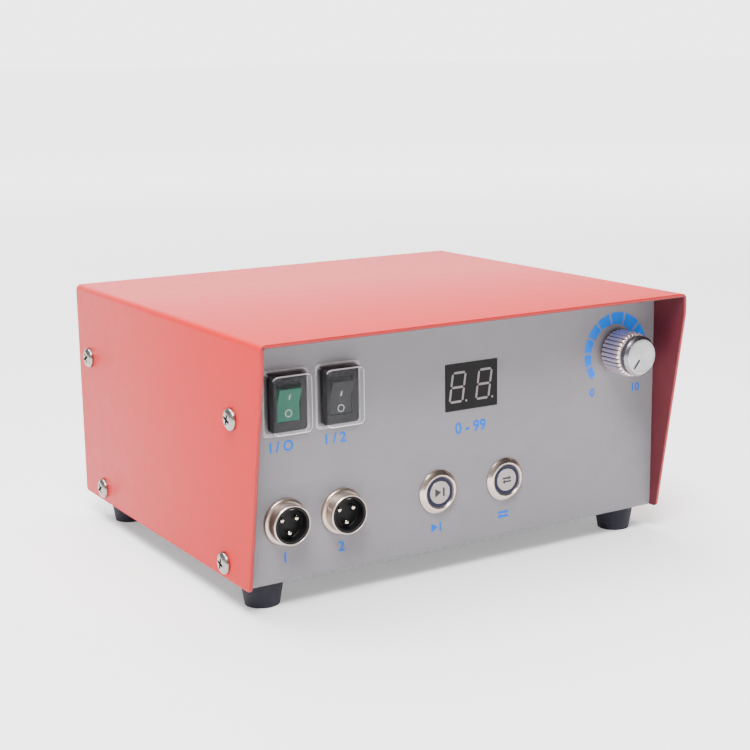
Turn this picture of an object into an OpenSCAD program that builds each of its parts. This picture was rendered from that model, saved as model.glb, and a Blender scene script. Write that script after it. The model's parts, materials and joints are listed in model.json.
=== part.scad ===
// Control box of a dental micromotor: a folded sheet chassis under a hooded cover, with its
// switches, sockets, buttons, display, speed knob, feet and the electrics inside.
// Lengths are in millimetres. X runs from left to right as the user sees the box, Y from the hood's
// front edge to the rear and Z upwards from the table.

/* [Case] */
// Width of the cover over its side walls
case_w = 200; // [186:1:240]
// Depth of the cover from the hood's front edge to its rear edge
case_d = 181.5; // [176:0.5:220]
// Height of the cover's top over the tray's underside
case_h = 96.5; // [94:0.5:120]
// Thickness of the sheet steel
sheet = 1.5; // [1:0.1:2]
// Outer radius of the bends in the sheet
bend_r = 2.5; // [2.2:0.1:4]
// Gap between the cover and the chassis inside it
case_gap = 0.2; // [0.1:0.05:0.4]
// How far the front panel lies behind the hood's edge
panel_setback = 18.2; // [17.5:0.1:26]
// Straight part of the cheeks below the hood's edge
hood_drop = 8.7; // [5:0.1:20]
// How far back the cheeks slope at their lower end
cheek_back = 14.8; // [6:0.1:17]
// How far the cover's lower edge stays above the tray's underside
cover_lift = 0.5; // [0.2:0.1:1]
// Radius of the cover's lower corners
corner_r = 1.5; // [1:0.1:4]
// How far the rear panel lies inside the cover's rear edge
rear_setback = 6.5; // [6:0.1:12]
// Depth of the chassis flanges that the cover is screwed to
flange_d = 14; // [13:0.5:20]
// Height of the upright flanges of the front and rear panels
flange_h = 46; // [30:1:50]

/* [Cover screws] */
// Diameter of the case screws
screw_d = 4; // [3:0.1:4.2]
// Diameter of the heads of the cover's screws
cover_head_d = 8.8; // [8:0.1:9.4]
// Diameter of the heads of the foot and transformer screws
screw_head_d = 8; // [7.2:0.1:8.4]
// Height of the screw heads
screw_head_h = 2.2; // [1.6:0.1:2.6]
// Radial gap of the screw holes
hole_gap = 0.2; // [0.1:0.05:0.4]
// Radial gap of a screw in its nut
thread_gap = 0.05; // [0.02:0.01:0.1]
// Width of the nuts across flats
nut_af = 7; // [6.6:0.1:8]
// Height of the nuts
nut_h = 3.2; // [2.4:0.1:4]
// Screw length that shows past its nut
screw_past = 0.8; // [0.2:0.1:2]
// Drop of the upper screws below the cover's top
upper_screw_drop = 31.5; // [28:0.5:38]
// Distance of the upper screws behind the panels' faces
upper_screw_in = 6.9; // [6:0.1:9]
// Height of the lower screws over the tray's underside
lower_screw_z = 6.7; // [6.4:0.1:8]
// Distance of the lower front screws from the hood's edge
lower_front_y = 34.8; // [34:0.1:60]
// Distance of the lower rear screws from the rear edge
lower_rear_y = 22.8; // [22:0.1:50]

/* [Feet] */
// Upper diameter of the feet
foot_top_d = 17.2; // [15:0.1:18]
// Lower diameter of the feet
foot_base_d = 13.6; // [12.8:0.1:16]
// Height of the feet
foot_h = 10.2; // [9:0.1:16]
// Radius of the feet's lower edge
foot_edge_r = 1.2; // [0.5:0.1:1.6]
// Depth of the recess for the screw head
foot_recess = 6; // [4:0.1:7]
// Distance of the feet's centres from the side walls
foot_side = 12.7; // [12.5:0.1:20]
// Distance of the front feet from the hood's edge
foot_front = 29.5; // [28:0.1:60]
// Distance of the rear feet from the rear edge
foot_rear = 20.6; // [18:0.1:50]

/* [Switches] */
// Distance of the power switch from the left wall
power_x = 19; // [17:0.1:21]
// Distance between the two switches
switch_pitch = 22.4; // [21:0.1:26]
// Drop of the switches below the cover's top
switch_drop = 26.1; // [22:0.1:30]
// Width of the switch bezel
bezel_w = 15.6; // [15:0.1:15.8]
// Height of the switch bezel
bezel_h = 21.6; // [20.6:0.1:21.8]
// Thickness of the switch bezel
bezel_t = 2; // [1.5:0.1:2.5]
// Step from the bezel to the switch body
bezel_lip = 1.6; // [1.4:0.05:1.8]
// Depth of the switch body behind its bezel
switch_deep = 17; // [15:0.5:24]
// Gap between a panel cut-out and what goes through it
cut_gap = 0.1; // [0.05:0.05:0.3]
// Width of the rocker
rocker_w = 9.4; // [8:0.1:9.6]
// Radius of the rocker's ends about its pivot
rocker_r = 7.05; // [6.5:0.05:7.2]
// Distance of the rocker's valley in front of the pivot
rocker_front = 1.3; // [1:0.1:1.6]
// Distance of the rocker's back behind the pivot
rocker_back = 2.4; // [2:0.1:3]
// Angle through which the rocker swings
rocker_swing = 24; // [18:1:26]
// Length of the leg behind the rocker's pivot
rocker_leg = 5; // [4:0.1:6]
// Thickness of the rocker's leg
rocker_leg_t = 2; // [1.5:0.1:2.5]
// Distance of the pivot behind the bezel's face
pivot_in = 1.4; // [1.3:0.1:1.8]
// Diameter of the pivot pins
pivot_d = 1.6; // [1.2:0.1:1.8]
// Radial gap of the pivot pins
pivot_gap = 0.05; // [0.02:0.01:0.1]
// Wall outside the blind pivot holes
pivot_wall = 0.4; // [0.2:0.1:0.6]
// Gap around the rocker in its window
rocker_gap = 0.25; // [0.2:0.05:0.4]
// Width of the switch terminals
blade_w = 4.8; // [4:0.1:5.2]
// Thickness of the switch terminals
blade_t = 0.8; // [0.5:0.1:1]
// Length of the switch terminals behind the body
blade_l = 8; // [6:0.5:10]

/* [Switch boots] */
// Width of the boot's lip
boot_lip_w = 19.7; // [18.8:0.1:20.4]
// Height of the boot's lip
boot_lip_h = 25.4; // [24.8:0.1:26.4]
// Thickness of the boot's lip
boot_lip_t = 0.6; // [0.4:0.05:1]
// Width of the boot's cap at the panel
boot_w = 18.1; // [17.9:0.1:18.6]
// Height of the boot's cap at the panel
boot_h = 24; // [23.8:0.1:24.6]
// Depth of the boot's cap in front of the panel
boot_deep = 7; // [6.8:0.1:9]
// How much narrower the cap is at its shoulder
boot_draw_w = 2; // [1:0.1:2.2]
// How much lower the cap is at its shoulder
boot_draw_h = 1.9; // [1:0.1:2.1]
// Depth of the bulged front beyond the shoulder
boot_bulge = 0.7; // [0.3:0.1:0.8]
// Wall of the boot's cap
boot_wall = 0.5; // [0.3:0.05:0.55]
// Corner radius of the boot's cap
boot_r = 2.2; // [1:0.1:3]

/* [Sockets] */
// Distance of the first motor socket from the left wall
socket_x = 17.5; // [16:0.1:20]
// Distance between the two motor sockets
socket_pitch = 24.7; // [23.5:0.1:30]
// Height of the sockets over the tray's underside
socket_z = 24.4; // [22:0.1:40]
// Diameter of the socket flange
socket_flange_d = 18.4; // [17.8:0.1:20]
// Thickness of the socket flange
socket_flange_t = 1.6; // [1:0.1:2.4]
// Diameter of the socket's threaded barrel
socket_d = 15.6; // [15.2:0.1:16]
// How far the socket stands out from the panel
socket_out = 6.4; // [5.6:0.1:7]
// Chamfer at the socket's rim
socket_chamfer = 0.3; // [0.2:0.1:0.6]
// Width of the relief groove between the socket's flange and thread
relief_w = 0.6; // [0.4:0.1:0.8]
// Depth of the relief groove
relief_deep = 0.3; // [0.2:0.05:0.4]
// Bore of the socket
socket_bore = 13.9; // [13.4:0.1:14.1]
// Length of the socket behind the panel
socket_back = 11; // [9:0.5:16]
// Depth of the insert's face below the rim
socket_recess = 4.6; // [4.2:0.1:5]
// Thickness of the insert
insert_t = 9; // [7:0.1:11]
// Wall of the insert's sleeve round the pins
insert_wall = 0.6; // [0.4:0.1:0.8]
// Depth of the sleeve's end below the rim
sleeve_sink = 0.4; // [0.3:0.1:1]
// Radial gap of the insert in its shell
insert_gap = 0.05; // [0.02:0.01:0.1]
// Diameter of the contact pins
pin_d = 2; // [1.6:0.1:2.2]
// Radius of the circle that the pins stand on
pin_circle = 3.6; // [3.4:0.1:4]
// Length of the pins in front of the insert
pin_out = 2.5; // [2:0.1:3.4]
// Length of the pins' solder tails behind the insert
pin_tail = 4; // [3:0.1:6]
// Width of the key in the bore
key_w = 2; // [1.4:0.1:2.4]
// Height of the key in the bore
key_h = 1.2; // [0.8:0.1:1.4]
// Width of the socket nuts across flats
socket_nut_af = 19; // [18.4:0.1:20]
// Height of the socket nuts
socket_nut_h = 3; // [2:0.1:4]

/* [Push buttons] */
// Distance between the two push buttons
button_pitch = 32.8; // [28:0.1:40]
// Height of the push buttons over the tray's underside
button_z = 24.8; // [20:0.1:34]
// Diameter of the button's bezel
button_bezel_d = 18; // [17.6:0.1:19]
// Front diameter of the button's conical bezel
button_face_d = 14.8; // [14.4:0.1:16]
// Height of the button's bezel
button_bezel_h = 2; // [1.4:0.1:2.6]
// Rim of the bezel before it turns conical
button_rim = 0.6; // [0.3:0.1:1]
// Diameter of the button's threaded barrel
button_d = 15.8; // [15.4:0.1:16.2]
// Length of the button's barrel behind the panel
button_back = 22; // [20:0.5:28]
// Diameter of the push cap
cap_d = 13; // [12.8:0.1:13.2]
// Radial gap of the push cap
cap_gap = 0.08; // [0.03:0.01:0.1]
// Length of the push cap's skirt
cap_l = 6; // [5:0.1:8]
// Depth of the cap's face below the bezel's face
cap_sink = 0.3; // [0.1:0.1:0.6]
// Travel of the push cap
cap_travel = 1.8; // [1:0.1:2]
// Radial step of the cap's collar
cap_collar = 0.5; // [0.3:0.05:0.6]
// Thickness of the cap's collar
cap_collar_t = 1.2; // [0.8:0.1:2]
// Outer diameter of the light ring
ring_d = 12.4; // [11.4:0.1:12.5]
// Inner diameter of the light ring
ring_bore = 9.4; // [8:0.1:9.8]
// Thickness of the light ring
ring_t = 1.2; // [0.6:0.1:1.6]
// Mean diameter of the return spring
spring_d = 8; // [7:0.1:9]
// Wire of the return spring
spring_wire = 0.7; // [0.5:0.05:0.9]
// Length that the pressed spring keeps in hand over its closed coils
spring_spare = 2.4; // [1.4:0.1:4]
// Turns of the return spring
spring_turns = 4; // [3:1:5]
// Width of the button nuts across flats
button_nut_af = 19; // [18.4:0.1:20]
// Height of the button nuts
button_nut_h = 2.5; // [2:0.1:4]
// Width of the button terminals
button_blade_w = 2.8; // [2:0.1:3]
// Thickness of the button terminals
button_blade_t = 0.5; // [0.4:0.1:0.8]
// Length of the button terminals behind the barrel
button_blade_l = 6; // [4:0.1:8]

/* [Display] */
// Distance of the display's centre from the left wall
display_x = 103; // [96:0.1:112]
// Drop of the display's centre below the cover's top
display_drop = 30.3; // [24:0.1:34]
// Width of the display
display_w = 25; // [24:0.1:30]
// Height of the display
display_h = 19; // [18:0.1:24]
// Depth of the display
display_deep = 8; // [6:0.1:12]
// How far the display's face stands out of the panel
display_out = 0.3; // [0.1:0.1:1]
// Width of the lip behind the panel
display_lip = 2; // [1:0.1:3]
// Thickness of the lip behind the panel
display_lip_t = 1.2; // [0.8:0.1:2]
// Height of the digits
digit_h = 12.6; // [11.6:0.1:14]
// Width of the digits
digit_w = 7; // [6.4:0.1:8]
// Distance between the digits
digit_pitch = 12.7; // [12:0.1:13.2]
// Slant of the digits
digit_slant = 8; // [0:1:10]
// Width of the segments
segment_w = 0.9; // [0.7:0.1:1.4]
// Gap between the segments
segment_gap = 0.3; // [0.2:0.05:0.5]
// Gap between a digit and its point
point_gap = 1; // [0.4:0.1:1.2]
// Depth of the segments' light windows
segment_deep = 0.8; // [0.4:0.1:1.5]
// Width of the display board
display_board_w = 44; // [36:1:50]
// Height of the display board
display_board_h = 30; // [26:1:40]

/* [Speed control] */
// Distance of the knob's axis from the right wall
knob_side = 22.6; // [20:0.1:30]
// Drop of the knob's axis below the cover's top
knob_drop = 24.7; // [22:0.1:30]
// Diameter of the knob's fluted skirt
knob_d = 18.8; // [17.5:0.1:20]
// Diameter of the knob's face
knob_face_d = 16.9; // [16:0.1:17.4]
// How far the knob stands out from the panel
knob_out = 16.5; // [15.5:0.1:17]
// Gap between the knob and the panel
knob_gap = 0.8; // [0.5:0.1:1.2]
// Height of the smooth head above the flutes
knob_head = 3.4; // [2.6:0.1:5]
// Depth of the neck between the flutes and the head
knob_neck = 0.7; // [0.4:0.1:1]
// Length of the rounded shoulder at the flutes' front end
knob_shoulder = 2; // [1:0.1:2.4]
// Chamfer of the knob's face
knob_chamfer = 1.2; // [0.6:0.1:1.4]
// Thickness of the knob's face disc
face_t = 0.8; // [0.5:0.1:1.2]
// Number of flutes round the knob
flutes = 30; // [20:2:36]
// Diameter of each flute
flute_d = 1.3; // [0.8:0.1:1.4]
// Width of the pointer line
pointer_w = 1; // [0.6:0.1:1.4]
// Depth of the pointer line
pointer_deep = 0.3; // [0.2:0.05:0.4]
// Angle of the pointer line from upright at rest
pointer_angle = 141; // [130:1:150]
// Diameter of the potentiometer's shaft
shaft_d = 6; // [5:0.1:6.2]
// Radial gap of the shaft in its bush
shaft_gap = 0.05; // [0.02:0.01:0.1]
// Diameter of the potentiometer's threaded bush
bush_d = 8; // [7.6:0.1:9]
// Length of the bush in front of the panel
bush_out = 3.2; // [2.6:0.1:3.6]
// Diameter of the potentiometer's can
pot_d = 24; // [18:0.5:26]
// Depth of the potentiometer's can
pot_deep = 10; // [8:0.5:14]
// Width of the potentiometer's nut across flats
pot_nut_af = 11; // [10.6:0.1:12]
// Height of the potentiometer's nut
pot_nut_h = 2; // [1.5:0.1:2.4]
// Diameter of the grub screw in the knob
grub_d = 3; // [2:0.1:3]

/* [Mains inlet] */
// Distance of the mains inlet's centre from the right wall
inlet_side = 40; // [34:0.5:50]
// Height of the inlet's centre over the tray's underside
inlet_z = 34.5; // [30:0.5:50]
// Width of the inlet's flange
inlet_w = 31; // [30.5:0.1:36]
// Height of the inlet's flange
inlet_h = 33; // [32.4:0.1:36]
// Thickness of the inlet's flange
inlet_flange_t = 2.5; // [1.5:0.1:4]
// Step from the flange to the inlet's body
inlet_lip = 1.6; // [1.2:0.1:1.8]
// Depth of the inlet's body behind the panel
inlet_deep = 26; // [24:0.5:30]
// Width of the plug cavity
cavity_w = 24.5; // [24:0.1:25]
// Height of the plug cavity
cavity_h = 16.5; // [16:0.1:17]
// Depth of the plug cavity
cavity_deep = 16; // [15:0.1:18]
// Chamfer at the plug cavity's lower corners
cavity_chamfer = 5; // [3:0.1:6]
// Wall between the flange's edge, the cavity and the drawer
inlet_wall = 2.75; // [2.6:0.05:2.9]
// Height of the prongs' section
prong_h = 4; // [3.5:0.1:4.2]
// Thickness of the prongs' section
prong_t = 2; // [1.8:0.1:2.2]
// Length of the prongs in the cavity
prong_l = 13; // [11:0.1:14]
// Length of the prongs' tags behind the body
prong_tag = 7; // [5:0.5:9]
// Distance between the two outer prongs
prong_pitch = 14; // [13.6:0.1:14.4]
// Height of the earth prong over the outer ones
earth_up = 4; // [3.6:0.1:4.4]
// Width of the fuse drawer
drawer_w = 24; // [23.4:0.1:24.6]
// Height of the fuse drawer
drawer_h = 8; // [7.6:0.1:8.4]
// Depth of the fuse drawer from the inlet's face
drawer_deep = 22; // [20:0.5:24]
// Gap around the fuse drawer
drawer_gap = 0.15; // [0.1:0.05:0.3]
// Depth of the finger notch in the drawer's front
drawer_notch = 2; // [1:0.1:4]
// Diameter of the fuse
fuse_d = 5; // [4.6:0.1:5.2]
// Length of the fuse
fuse_l = 20; // [19:0.5:20.5]
// Length of the fuse's end caps
fuse_cap = 5.5; // [4:0.1:6]

/* [Rear panel] */
// Distance of the pedal socket from the right wall
pedal_side = 78; // [70:0.5:90]
// Height of the pedal socket over the tray's underside
pedal_z = 34.5; // [24:0.5:50]
// Distance of the vent slots' centre from the left wall
vent_x = 60; // [45:0.5:70]
// Height of the lowest vent slot over the tray's underside
vent_z = 36.5; // [24:0.5:44]
// Length of the vent slots
vent_l = 50; // [30:1:60]
// Width of the vent slots
vent_w = 3.2; // [2:0.1:3.6]
// Distance between the vent slots
vent_pitch = 7; // [6:0.1:8]
// Number of vent slots
vents = 7; // [4:1:7]

/* [Transformer] */
// Distance of the transformer's centre from the left wall
transformer_x = 60; // [55:0.5:62]
// Distance of the transformer's centre from the rear edge
transformer_rear = 53.5; // [50:0.5:60]
// Width of the laminations
core_w = 66; // [60:0.5:68]
// Height of the laminations
core_h = 55; // [50:0.5:60]
// Thickness of the lamination stack
core_stack = 33; // [26:0.5:36]
// Width of the outer legs and yokes
core_leg = 11; // [10:0.5:12]
// How far the winding stands out of the stack at each side
coil_over = 10; // [6:0.5:12]
// Gap between the winding and the core
coil_gap = 0.3; // [0.1:0.05:0.6]
// Corner radius of the winding
coil_r = 4; // [2:0.5:6]
// Thickness of the transformer's strap
strap_t = 1; // [0.8:0.1:1.5]
// Width of the strap
strap_w = 24; // [16:0.5:26]
// Length of the strap's feet
strap_foot = 13; // [12:0.5:14]

/* [Control board] */
// Gap between the transformer's strap and the control board
board_gap = 3; // [2:0.5:6]
// Depth of the control board
board_d = 78; // [76:1:80]
// Thickness of the boards
board_t = 1.6; // [1:0.1:2]
// Distance of the board from the right wall
board_side = 8; // [7.5:0.5:9]
// Distance of the board from the rear edge
board_rear = 41.5; // [41:0.5:50]
// Height of the spacers under the board
spacer_h = 8; // [6:0.5:10]
// Width of the spacers across flats
spacer_af = 5.5; // [5.2:0.1:6.5]
// Diameter of the spacers' stubs in the floor
spacer_stub = 4.4; // [4:0.1:5]
// Distance of the board's holes from its edges
board_hole_in = 4.5; // [4:0.1:6]
// Diameter of the board screws
board_screw_d = 3; // [2.5:0.1:3.2]
// Diameter of the board screws' heads
board_head_d = 5.6; // [5:0.1:6]
// Height of the board screws' heads
board_head_h = 1.8; // [1.4:0.1:2.2]
// Length of the board screws below the board
board_screw_l = 5; // [4:0.1:5.5]
// Length of the heat sink
sink_l = 50; // [44:1:52]
// Height of the heat sink
sink_h = 28; // [20:1:34]
// Thickness of the heat sink's base
sink_base = 3; // [2:0.1:4]
// Length of the fins
fin_l = 14; // [8:0.5:15]
// Thickness of the fins
fin_t = 1.4; // [1:0.1:2]
// Number of fins
fins = 8; // [5:1:9]
// Distance of the heat sink from the board's right edge
sink_in = 22; // [20:0.5:26]
// Width of the transistors
transistor_w = 10; // [9:0.1:11]
// Height of the transistors
transistor_h = 15; // [14:0.1:18]
// Thickness of the transistors
transistor_t = 4.5; // [3:0.1:5]
// Length of the transistors' legs above the board
leg_l = 4; // [3:0.1:6]
// Distance between the transistors
transistor_pitch = 24; // [16:0.5:30]
// Diameter of the capacitors
capacitor_d = 16; // [12:0.5:18]
// Height of the capacitors
capacitor_h = 25; // [18:0.5:32]
// Distance between the capacitors
capacitor_pitch = 24; // [20:0.5:30]
// Distance of the capacitors from the board's left edge
capacitor_in = 22; // [16:0.5:30]
// Length of the cable headers
header_l = 14; // [10:0.5:16]
// Width of the cable headers
header_w = 6; // [5:0.1:7]
// Height of the cable headers
header_h = 8; // [6:0.5:10]
// Wall of the cable headers
header_wall = 0.8; // [0.6:0.1:1.2]
// Distance between the cable headers
header_pitch = 20; // [17:0.5:22]
// Number of cable headers
headers = 3; // [2:1:3]

/* [Hidden] */
$fn = 64;
// A hair's breadth by which cutters pass the faces that they cut
past = 1;
chassis_w = case_w - 2 * (sheet + case_gap);
panel_h = case_h - sheet - case_gap;
rear_y = case_d - rear_setback;
cheek_top = case_h - hood_drop;
upper_screw_z = case_h - upper_screw_drop;
switch_z = case_h - switch_drop;
display_z = case_h - display_drop;
knob_z = case_h - knob_drop;
floor_flange_h = 2 * lower_screw_z;
flange_ends = 6;
screw_hole = screw_d + 2 * hole_gap;
grip = 2 * sheet + case_gap;
upper_ys = [panel_setback + upper_screw_in, rear_y - upper_screw_in];
lower_ys = [lower_front_y, case_d - lower_rear_y];
foot_xs = [foot_side, case_w - foot_side];
foot_ys = [foot_front, case_d - foot_rear];
switch_xs = [power_x, power_x + switch_pitch];
body_w = bezel_w - 2 * bezel_lip;
body_h = bezel_h - 2 * bezel_lip;
bezel_y = -boot_lip_t - bezel_t;
pivot_y = bezel_y + pivot_in;
half_swing = rocker_swing / 2;
leg_room = 1;
cavity_y = pivot_y + rocker_leg + leg_room;
bezel_round = 1.6;
window_w = rocker_w + 2 * rocker_gap;
window_h = 2 * (rocker_r + rocker_gap);
blade_in = 3;
power_blades = [[-2.6, 5], [2.6, 5], [-2.6, -5], [2.6, -5]];
selector_blades = [[0, 6], [0, 0], [0, -6]];
socket_xs = [socket_x, socket_x + socket_pitch];
insert_y = socket_recess - socket_out;
pin_angles = [30, 150, 270];
button_xs = [display_x - button_pitch / 2, display_x + button_pitch / 2];
cap_face = button_bezel_h - cap_sink;
cap_foot = cap_face - cap_l;
cap_stop = cap_foot + cap_collar_t;
spring_l = spring_turns * spring_wire + cap_travel + spring_spare;
spring_seat = cap_foot - spring_l;
collar_d = cap_d + 2 * cap_collar;
button_blades = [[-3.5, 3], [3.5, 3], [-3.5, -3], [3.5, -3]];
knob_x = case_w - knob_side;
washer_t = 0.5;
tool_room = 0.6;
nut_room = pot_nut_af / cos(30) + 2 * tool_room;
knob_recess = bush_out + tool_room;
knob_web = 2;
shaft_top = knob_out - face_t - knob_web;
shaft_in = 6;
grub_web = 1.4;
grub_h = knob_recess + grub_d / 2 + grub_web;
grub_l = 4;
disc_d = knob_face_d - 3 * knob_chamfer;
pedal_x = case_w - pedal_side;
inlet_x = case_w - inlet_side;
inlet_body_w = inlet_w - 2 * inlet_lip;
inlet_body_h = inlet_h - 2 * inlet_lip;
cavity_z = inlet_h / 2 - inlet_wall - cavity_h / 2;
drawer_z = cavity_z - cavity_h / 2 - inlet_wall - drawer_h / 2;
prongs = [[-prong_pitch / 2, -earth_up / 2], [prong_pitch / 2, -earth_up / 2], [0, earth_up / 2]];
inlet_round = 2;
fuse_floor = 1;
fuse_gap = 0.1;
fuse_step = 0.4;
drawer_notch_w = 8;
drawer_notch_h = 4;
transformer_y = case_d - transformer_rear;
core_window_w = core_w / 2 - 2 * core_leg;
strap_hole_x = core_w / 2 + strap_t + strap_foot / 2;
board_x = transformer_x + core_w / 2 + strap_t + strap_foot + board_gap;
board_w = case_w - board_side - board_x;
board_y = case_d - board_rear - board_d;
board_z = sheet + spacer_h;
board_top = board_z + board_t;
board_mid = board_y + board_d / 2;
board_hole_xs = [board_x + board_hole_in, board_x + board_w - board_hole_in];
board_hole_ys = [board_y + board_hole_in, board_y + board_d - board_hole_in];
sink_x = board_x + board_w - sink_in;
header_x = board_x + board_w / 2 - (headers - 1) * header_pitch / 2;
header_y = board_y + board_hole_in + board_head_d / 2 + hole_gap;

// Places and simple shapes

// Moves the case frame, measured from the hood's left lower corner, to the part's own frame
module place() translate([-case_w / 2, -case_d / 2, foot_h]) children();

// A spot on the front panel's face: Y points into the box
module front(x, z) place() translate([x, panel_setback, z]) children();

// A spot on the rear panel's face, seen from behind: Y points into the box
module rear(x, z) place() translate([x, rear_y, z]) rotate([0, 0, 180]) children();

// A flat shape drawn in X and Z, pulled along Y
module along_y(from, to) {
  translate([0, to, 0])
    rotate([90, 0, 0])
      linear_extrude(to - from) children();
}

// A flat shape drawn in Y and Z, pulled along X
module along_x(from, to) {
  translate([from, 0, 0])
    rotate([90, 0, 90])
      linear_extrude(to - from) children();
}

// A round bar along Y
module rod(d, from, to) {
  translate([0, to, 0])
    rotate([90, 0, 0])
      cylinder(d = d, h = to - from);
}

// A block around the Y axis
module slab(w, h, from, to) translate([-w / 2, from, -h / 2]) cube([w, to - from, h]);

// A flat rectangle with round corners
module rounded(w, h, r) {
  square([w - 2 * r, h], center = true);
  square([w, h - 2 * r], center = true);
  for (x = [-1, 1], y = [-1, 1])
    translate([x * (w / 2 - r), y * (h / 2 - r)]) circle(r);
}

module rounded_slab(w, h, r, from, to) along_y(from, to) rounded(w, h, r);

// A body of revolution whose heights point out of the panel
module turned(points) rotate([90, 0, 0]) rotate_extrude() polygon(points);

module hex_nut(af, bore, h) {
  difference() {
    cylinder(d = af / cos(30), h = h, $fn = 6);
    translate([0, 0, -past]) cylinder(d = bore, h = h + 2 * past);
  }
}

// A nut on a panel's inner face
module panel_nut(af, bore, h) translate([0, sheet + h, 0]) rotate([90, 0, 0]) hex_nut(af, bore, h);

// A pan-head screw with its head's seat at zero and its shank downwards
module pan_screw(d, head_d, head_h, length) {
  dome = head_d * 0.7;
  intersection() {
    cylinder(d = head_d, h = head_h);
    translate([0, 0, head_h - dome]) sphere(dome);
  }
  translate([0, 0, -length]) cylinder(d = d, h = length);
}

// The waste at a corner p between directions u and v that leaves a radius r
module corner_waste(p, u, v, r) {
  half = acos(u * v) / 2;
  reach = r / tan(half);
  middle = p + (u + v) / norm(u + v) * r / sin(half);
  difference() {
    polygon([p, p + reach * u, middle, p + reach * v]);
    translate(middle) circle(r);
  }
}

// The section of a bent sheet with two legs upwards, its outer face at zero
module u_shape(w, leg) {
  inner_r = bend_r - sheet;
  difference() {
    union() {
      translate([-w / 2, bend_r]) square([w, leg - bend_r]);
      translate([bend_r - w / 2, 0]) square([w - 2 * bend_r, leg]);
      for (s = [-1, 1]) translate([s * (w / 2 - bend_r), bend_r]) circle(bend_r);
    }
    translate([sheet - w / 2, bend_r]) square([w - 2 * sheet, leg]);
    translate([bend_r - w / 2, sheet]) square([w - 2 * bend_r, leg]);
    for (s = [-1, 1]) translate([s * (w / 2 - bend_r), bend_r]) circle(inner_r);
  }
}

// Cover and chassis

// Outline of the cover from the side: hood, slanted cheek and round lower corners
module side_profile() {
  foot = [cheek_back, cover_lift];
  heel = [case_d, cover_lift];
  rise = cheek_top - cover_lift;
  slope = [-cheek_back, rise] / norm([cheek_back, rise]);
  difference() {
    polygon([[0, case_h], [0, cheek_top], foot, heel, [case_d, case_h]]);
    corner_waste(foot, [1, 0], slope, corner_r);
    corner_waste(heel, [-1, 0], [0, 1], corner_r);
  }
}

// The eight places where screws hold the cover, head outwards
module at_cover_screws() {
  for (s = [0, 1]) {
    for (y = upper_ys) translate([s * case_w, y, upper_screw_z]) rotate([0, s * 180 - 90, 0]) children();
    for (y = lower_ys) translate([s * case_w, y, lower_screw_z]) rotate([0, s * 180 - 90, 0]) children();
  }
}

module screw_drill() translate([0, 0, -grip - past]) cylinder(d = screw_hole, h = grip + 2 * past);

module top_cover() color([0.88, 0.42, 0.41]) place() difference() {
  intersection() {
    along_y(0, case_d) translate([case_w / 2, case_h]) mirror([0, 1]) u_shape(case_w, case_h);
    along_x(-past, case_w + past) side_profile();
  }
  at_cover_screws() screw_drill();
}

// The bent tray with its front and rear panels and the flanges for the cover
module folded_tray() {
  tray_d = rear_y - panel_setback;
  along_x((case_w - chassis_w) / 2, (case_w + chassis_w) / 2)
    translate([panel_setback + tray_d / 2, 0]) u_shape(tray_d, panel_h);
  along_y(lower_front_y - flange_ends, case_d - lower_rear_y + flange_ends)
    translate([case_w / 2, 0]) u_shape(chassis_w, floor_flange_h);
  translate([case_w / 2, 0, upper_screw_z - flange_h / 2]) {
    translate([0, panel_setback, 0]) linear_extrude(flange_h) u_shape(chassis_w, flange_d);
    translate([0, rear_y, 0]) linear_extrude(flange_h) mirror([0, 1]) u_shape(chassis_w, flange_d);
  }
}

module front_cuts() {
  for (x = switch_xs) translate([x, panel_setback, switch_z])
    slab(body_w + 2 * cut_gap, body_h + 2 * cut_gap, -past, sheet + past);
  translate([display_x, panel_setback, display_z])
    slab(display_w + 2 * cut_gap, display_h + 2 * cut_gap, -past, sheet + past);
  for (x = socket_xs) translate([x, panel_setback, socket_z])
    rod(socket_d + 2 * hole_gap, -past, sheet + past);
  for (x = button_xs) translate([x, panel_setback, button_z])
    rod(button_d + 2 * hole_gap, -past, sheet + past);
  translate([knob_x, panel_setback, knob_z]) rod(bush_d + 2 * hole_gap, -past, sheet + past);
}

module rear_cuts() translate([0, rear_y, 0]) {
  translate([inlet_x, 0, inlet_z])
    slab(inlet_body_w + 2 * cut_gap, inlet_body_h + 2 * cut_gap, -sheet - past, past);
  translate([pedal_x, 0, pedal_z]) rod(socket_d + 2 * hole_gap, -sheet - past, past);
  for (i = [0:vents - 1]) translate([vent_x, 0, vent_z + i * vent_pitch]) {
    slab(vent_l - vent_w, vent_w, -sheet - past, past);
    for (s = [-1, 1]) translate([s * (vent_l - vent_w) / 2, 0, 0]) rod(vent_w, -sheet - past, past);
  }
}

module floor_cuts() translate([0, 0, -past]) {
  for (x = foot_xs, y = foot_ys) translate([x, y, 0]) cylinder(d = screw_hole, h = sheet + 2 * past);
  for (s = [-1, 1]) translate([transformer_x + s * strap_hole_x, transformer_y, 0])
    cylinder(d = screw_hole, h = sheet + 2 * past);
  for (x = board_hole_xs, y = board_hole_ys) translate([x, y, 0])
    cylinder(d = spacer_stub + 2 * thread_gap, h = sheet + 2 * past);
}

module chassis() color([0.66, 0.66, 0.68]) place() difference() {
  folded_tray();
  front_cuts();
  rear_cuts();
  floor_cuts();
  at_cover_screws() screw_drill();
}

module cover_screws() color([0.75, 0.75, 0.76]) place() at_cover_screws()
  pan_screw(screw_d, cover_head_d, screw_head_h, grip + nut_h + screw_past);

module cover_nuts() color([0.7, 0.7, 0.68]) place() at_cover_screws()
  translate([0, 0, -grip - nut_h]) hex_nut(nut_af, screw_d + 2 * thread_gap, nut_h);

// Feet

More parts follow.
